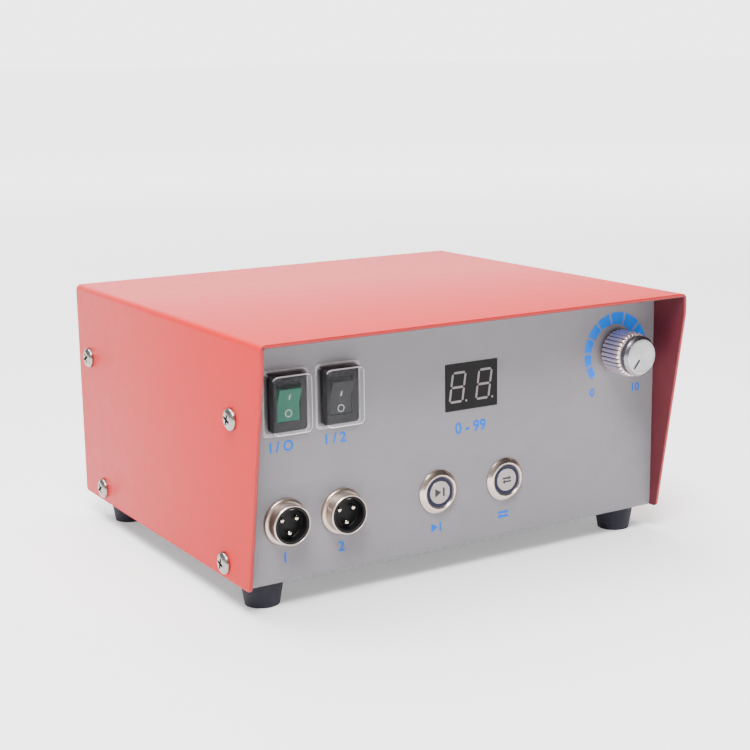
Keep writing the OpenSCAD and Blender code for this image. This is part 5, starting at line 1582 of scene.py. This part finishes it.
@dataclass
class Dressing:
    """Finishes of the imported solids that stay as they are.

    Attributes:
        finishes: Finish of each material slot.
        soft: Rounding of the solids' edges in millimetres, by node.
        bend: Edges that bend by more degrees than this are rounded.
    """

    finishes: dict[str, Finish] = field(default_factory=lambda: {
        "cover_red": RED_COAT, "chassis_grey": GREY_COAT, "screw_steel": ZINC, "rubber_black": RUBBER,
        "switch_black": SWITCH_PLASTIC, "rocker_green": GREEN_ROCKER, "rocker_black": BLACK_ROCKER,
        "boot_clear": VINYL, "socket_nickel": NICKEL, "insert_black": INSERT_PLASTIC,
        "contact_plated": PLATED_PIN, "button_metal": SATIN_NICKEL, "ring_navy": NAVY_LIGHT,
        "spring_steel": STEEL_WIRE, "terminal_brass": BRASS, "display_black": DISPLAY_FACE,
        "segment_grey": SEGMENT, "board_green": BOARD_MASK, "knob_metal": KNOB_METAL,
        "pot_metal": POT_METAL, "inlet_black": INLET_PLASTIC, "fuse_glass": FUSE_GLASS,
        "core_iron": CORE_IRON, "coil_tape": COIL_TAPE, "strap_zinc": ZINC, "sink_black": SINK_BLACK,
        "component_black": CHIP_BLACK, "sleeve_blue": SLEEVE_BLUE, "header_cream": HEADER_CREAM})
    soft: dict[str, float] = field(default_factory=lambda: {
        "power_switch_housing": 0.25, "selector_switch_housing": 0.25, "mains_inlet": 0.4,
        "fuse_drawer": 0.25})
    bend: float = 40.0

    def build(self) -> None:
        """Dresses every node of the record."""
        for row in frame["record"]["subparts"]:
            node = frame["nodes"][row["node"]]
            node.data.materials.clear()
            node.data.materials.append(self.finishes[row["material_slot"]].material())
            if row["node"] in self.soft:
                round_over = node.modifiers.new("round_over", "BEVEL")
                round_over.width = self.soft[row["node"]] * MM
                round_over.segments = 2
                round_over.limit_method = "ANGLE"
                round_over.angle_limit = math.radians(self.bend)


@dataclass
class Studio:
    """Pale floor, soft light and the camera.

    Attributes:
        azimuth, elevation, roll: Direction of the camera in degrees.
        corner: Lower left front corner of the box in millimetres.
        shift: Place of the camera from that corner, along its own axes in millimetres.
        lens, sensor: Focal length and width of the sensor in millimetres.
        floor: Half the side of the floor in metres.
        room: Brightness of the walls.
        near, far: Distances in metres over which the floor brightens into the walls.
        glow, near_share: Light of the far floor and the share of it close to the box.
        dim_way, dim_edge: Direction of the dimmer ceiling, and cosines between which it dims.
        dim_share: Brightness that is left there.
        back_way, back_edge: The same for the bright wall behind the box.
        back_glow: Extra light of that wall.
        lamps: Name, place in metres, side in metres and power in watts of each lamp.
        aim: Point in metres at which the lamps point.
    """

    azimuth: float = -31.231
    elevation: float = 11.903
    roll: float = -0.838
    corner: Triple = (-100.0, -90.75, 10.7)
    shift: Triple = (39.02, 83.68, 549.25)
    lens: float = 72.54
    sensor: float = 36.0
    floor: float = 40.0
    room: float = 0.5
    near: float = 0.3
    far: float = 2.2
    glow: float = 3.1
    near_share: float = 0.1
    dim_way: Triple = (0.4, -0.45, 0.8)
    dim_edge: Point = (0.45, 0.8)
    dim_share: float = 0.2
    back_way: Triple = (0.518, 0.855, 0.0)
    back_edge: Point = (0.7, 0.92)
    back_glow: float = 3.4
    lamps: tuple[tuple[str, Triple, float, float], ...] = (
        ("roof_light", (-0.1, 0.35, 1.3), 1.2, 46.0), ("key_light", (-0.45, -0.62, 1.25), 0.6, 41.0),
        ("left_light", (-1.3, -0.25, 0.55), 0.9, 1.5))
    aim: Triple = (0.0, 0.0, 0.05)

    def build(self) -> None:
        """Builds floor, lights and camera."""
        self._floor()
        self._world()
        for name, place, size, power in self.lamps:
            self._light(name, Vector(place), size, power)
        self._camera()

    def _floor(self) -> None:
        """Lays the floor."""
        shape = Shape()
        bmesh.ops.create_grid(shape.mesh, x_segments=1, y_segments=1, size=self.floor)
        mesh = bpy.data.meshes.new("floor")
        shape.mesh.to_mesh(mesh)
        shape.mesh.free()
        paper = FLOOR_PAPER.material()
        self._brighten(paper.node_tree)
        mesh.materials.append(paper)
        floor = bpy.data.objects.new("floor", mesh)
        bpy.context.scene.collection.objects.link(floor)

    def _brighten(self, tree: Tree) -> None:
        """Lets the floor brighten with its distance from the box until it melts into the walls.

        Args:
            tree: Node tree of the floor's finish.
        """
        place = add_node(tree, "TexCoord", {}).outputs["Object"]
        away = add_node(tree, "VectorMath", {0: place}, operation="LENGTH")
        light = (self.near_share * self.glow, self.glow)
        strength = self._ease(tree, away.outputs["Value"], (self.near, self.far), light)
        fill(tree, tree.nodes[SURFACE], {"Emission Color": WHITE, "Emission Strength": strength})

    @staticmethod
    def _ease(tree: Tree, value: Socket, edge: Point, light: Point) -> Socket:
        """Adds a soft step from one brightness to another.

        Args:
            tree: Node tree of the floor or of the room.
            value: Value that the step follows.
            edge: Values at which the step starts and ends.
            light: Brightness before and after the step.

        Returns:
            The brightness.
        """
        step = add_node(tree, "MapRange", {
            "Value": value, "From Min": edge[0], "From Max": edge[1], "To Min": light[0], "To Max": light[1]},
            interpolation_type="SMOOTHSTEP")
        return step.outputs["Result"]

    def _world(self) -> None:
        """Lights the room: white walls, a ceiling that is dimmer over the front, and a bright wall behind."""
        world = bpy.data.worlds.new("white_room")
        world.use_nodes = True
        tree = world.node_tree
        ceiling = self._zone(tree, self.dim_way, self.dim_edge, (self.room, self.room * self.dim_share))
        wall = self._zone(tree, self.back_way, self.back_edge, (0.0, self.back_glow))
        both = add_node(tree, "Math", {0: ceiling, 1: wall}, operation="ADD")
        fill(tree, tree.nodes["Background"], {"Color": WHITE, "Strength": both.outputs["Value"]})
        bpy.context.scene.world = world

    def _zone(self, tree: Tree, way: Sequence[float], edge: Point, light: Point) -> Socket:
        """Adds a soft round zone of the room's walls.

        Args:
            tree: Node tree of the room.
            way: Direction of the zone's middle.
            edge: Where the zone starts and where it is full, as cosines.
            light: Brightness outside and inside the zone.

        Returns:
            The brightness.
        """
        place = add_node(tree, "TexCoord", {}).outputs["Generated"]
        toward = add_node(tree, "VectorMath", {0: place, 1: way}, operation="DOT_PRODUCT")
        return self._ease(tree, toward.outputs["Value"], edge, light)

    def _light(self, name: str, place: Vector, size: float, power: float) -> None:
        """Hangs a soft lamp.

        Args:
            name: Name of the lamp.
            place: Where it hangs, in metres.
            size: Side of the lamp in metres.
            power: Power in watts.
        """
        lamp = bpy.data.lights.new(name, "AREA")
        lamp.size = size
        lamp.energy = power
        holder = bpy.data.objects.new(name, lamp)
        holder.location = place
        holder.rotation_euler = (Vector(self.aim) - place).to_track_quat("-Z", "Y").to_euler()
        bpy.context.scene.collection.objects.link(holder)

    def _camera(self) -> None:
        """Sets the camera up where the photograph was taken from."""
        azimuth, elevation, roll = (math.radians(a) for a in (self.azimuth, self.elevation, self.roll))
        back = Vector((math.sin(azimuth) * math.cos(elevation), -math.cos(azimuth) * math.cos(elevation),
                       math.sin(elevation)))
        level = Vector((0, 0, 1)).cross(back).normalized()
        upright = back.cross(level)
        right = math.cos(roll) * level + math.sin(roll) * upright
        up = math.cos(roll) * upright - math.sin(roll) * level
        place = right * self.shift[0] + up * self.shift[1] + back * self.shift[2]
        place += Vector(self.corner)
        data = bpy.data.cameras.new("camera")
        data.lens = self.lens
        data.sensor_width = self.sensor
        data.clip_start = 0.01
        camera = bpy.data.objects.new("camera", data)
        turn = Matrix((right, up, back)).transposed().to_4x4()
        camera.matrix_world = Matrix.Translation(place * MM) @ turn
        bpy.context.scene.collection.objects.link(camera)
        bpy.context.scene.camera = camera


def write_sizes() -> None:
    """Updates the view layer once the model is built."""
    bpy.context.view_layer.update()


def main() -> None:
    """Builds the box piece by piece."""
    logging.basicConfig(level=logging.INFO, format="%(name)s: %(message)s")
    Dressing().build()
    TopCover().build()
    CoverScrews().build()
    RockerSwitch("power", -81.0, GREEN_ROCKER, GREEN_END_SHADE, "rocker_green").build()
    RockerSwitch("selector", -58.6, BLACK_ROCKER, BLACK_ROCKER, "rocker_black",
                 bar_z=1.5, ring_z=-4.9).build()
    SocketSet().build()
    panel = PanelPrint()
    panel.build()
    for name, x, mark in (("start_button", -13.4, Mark.RUN), ("reverse_button", 19.4, Mark.SWAP)):
        button = PushButton(name, x)
        button.build()
        button.print(panel.mark(mark, button.x, button.z, 1.8))
    SpeedDial().build()
    Studio().build()
    write_sizes()


if __name__ == "__main__":
    main()
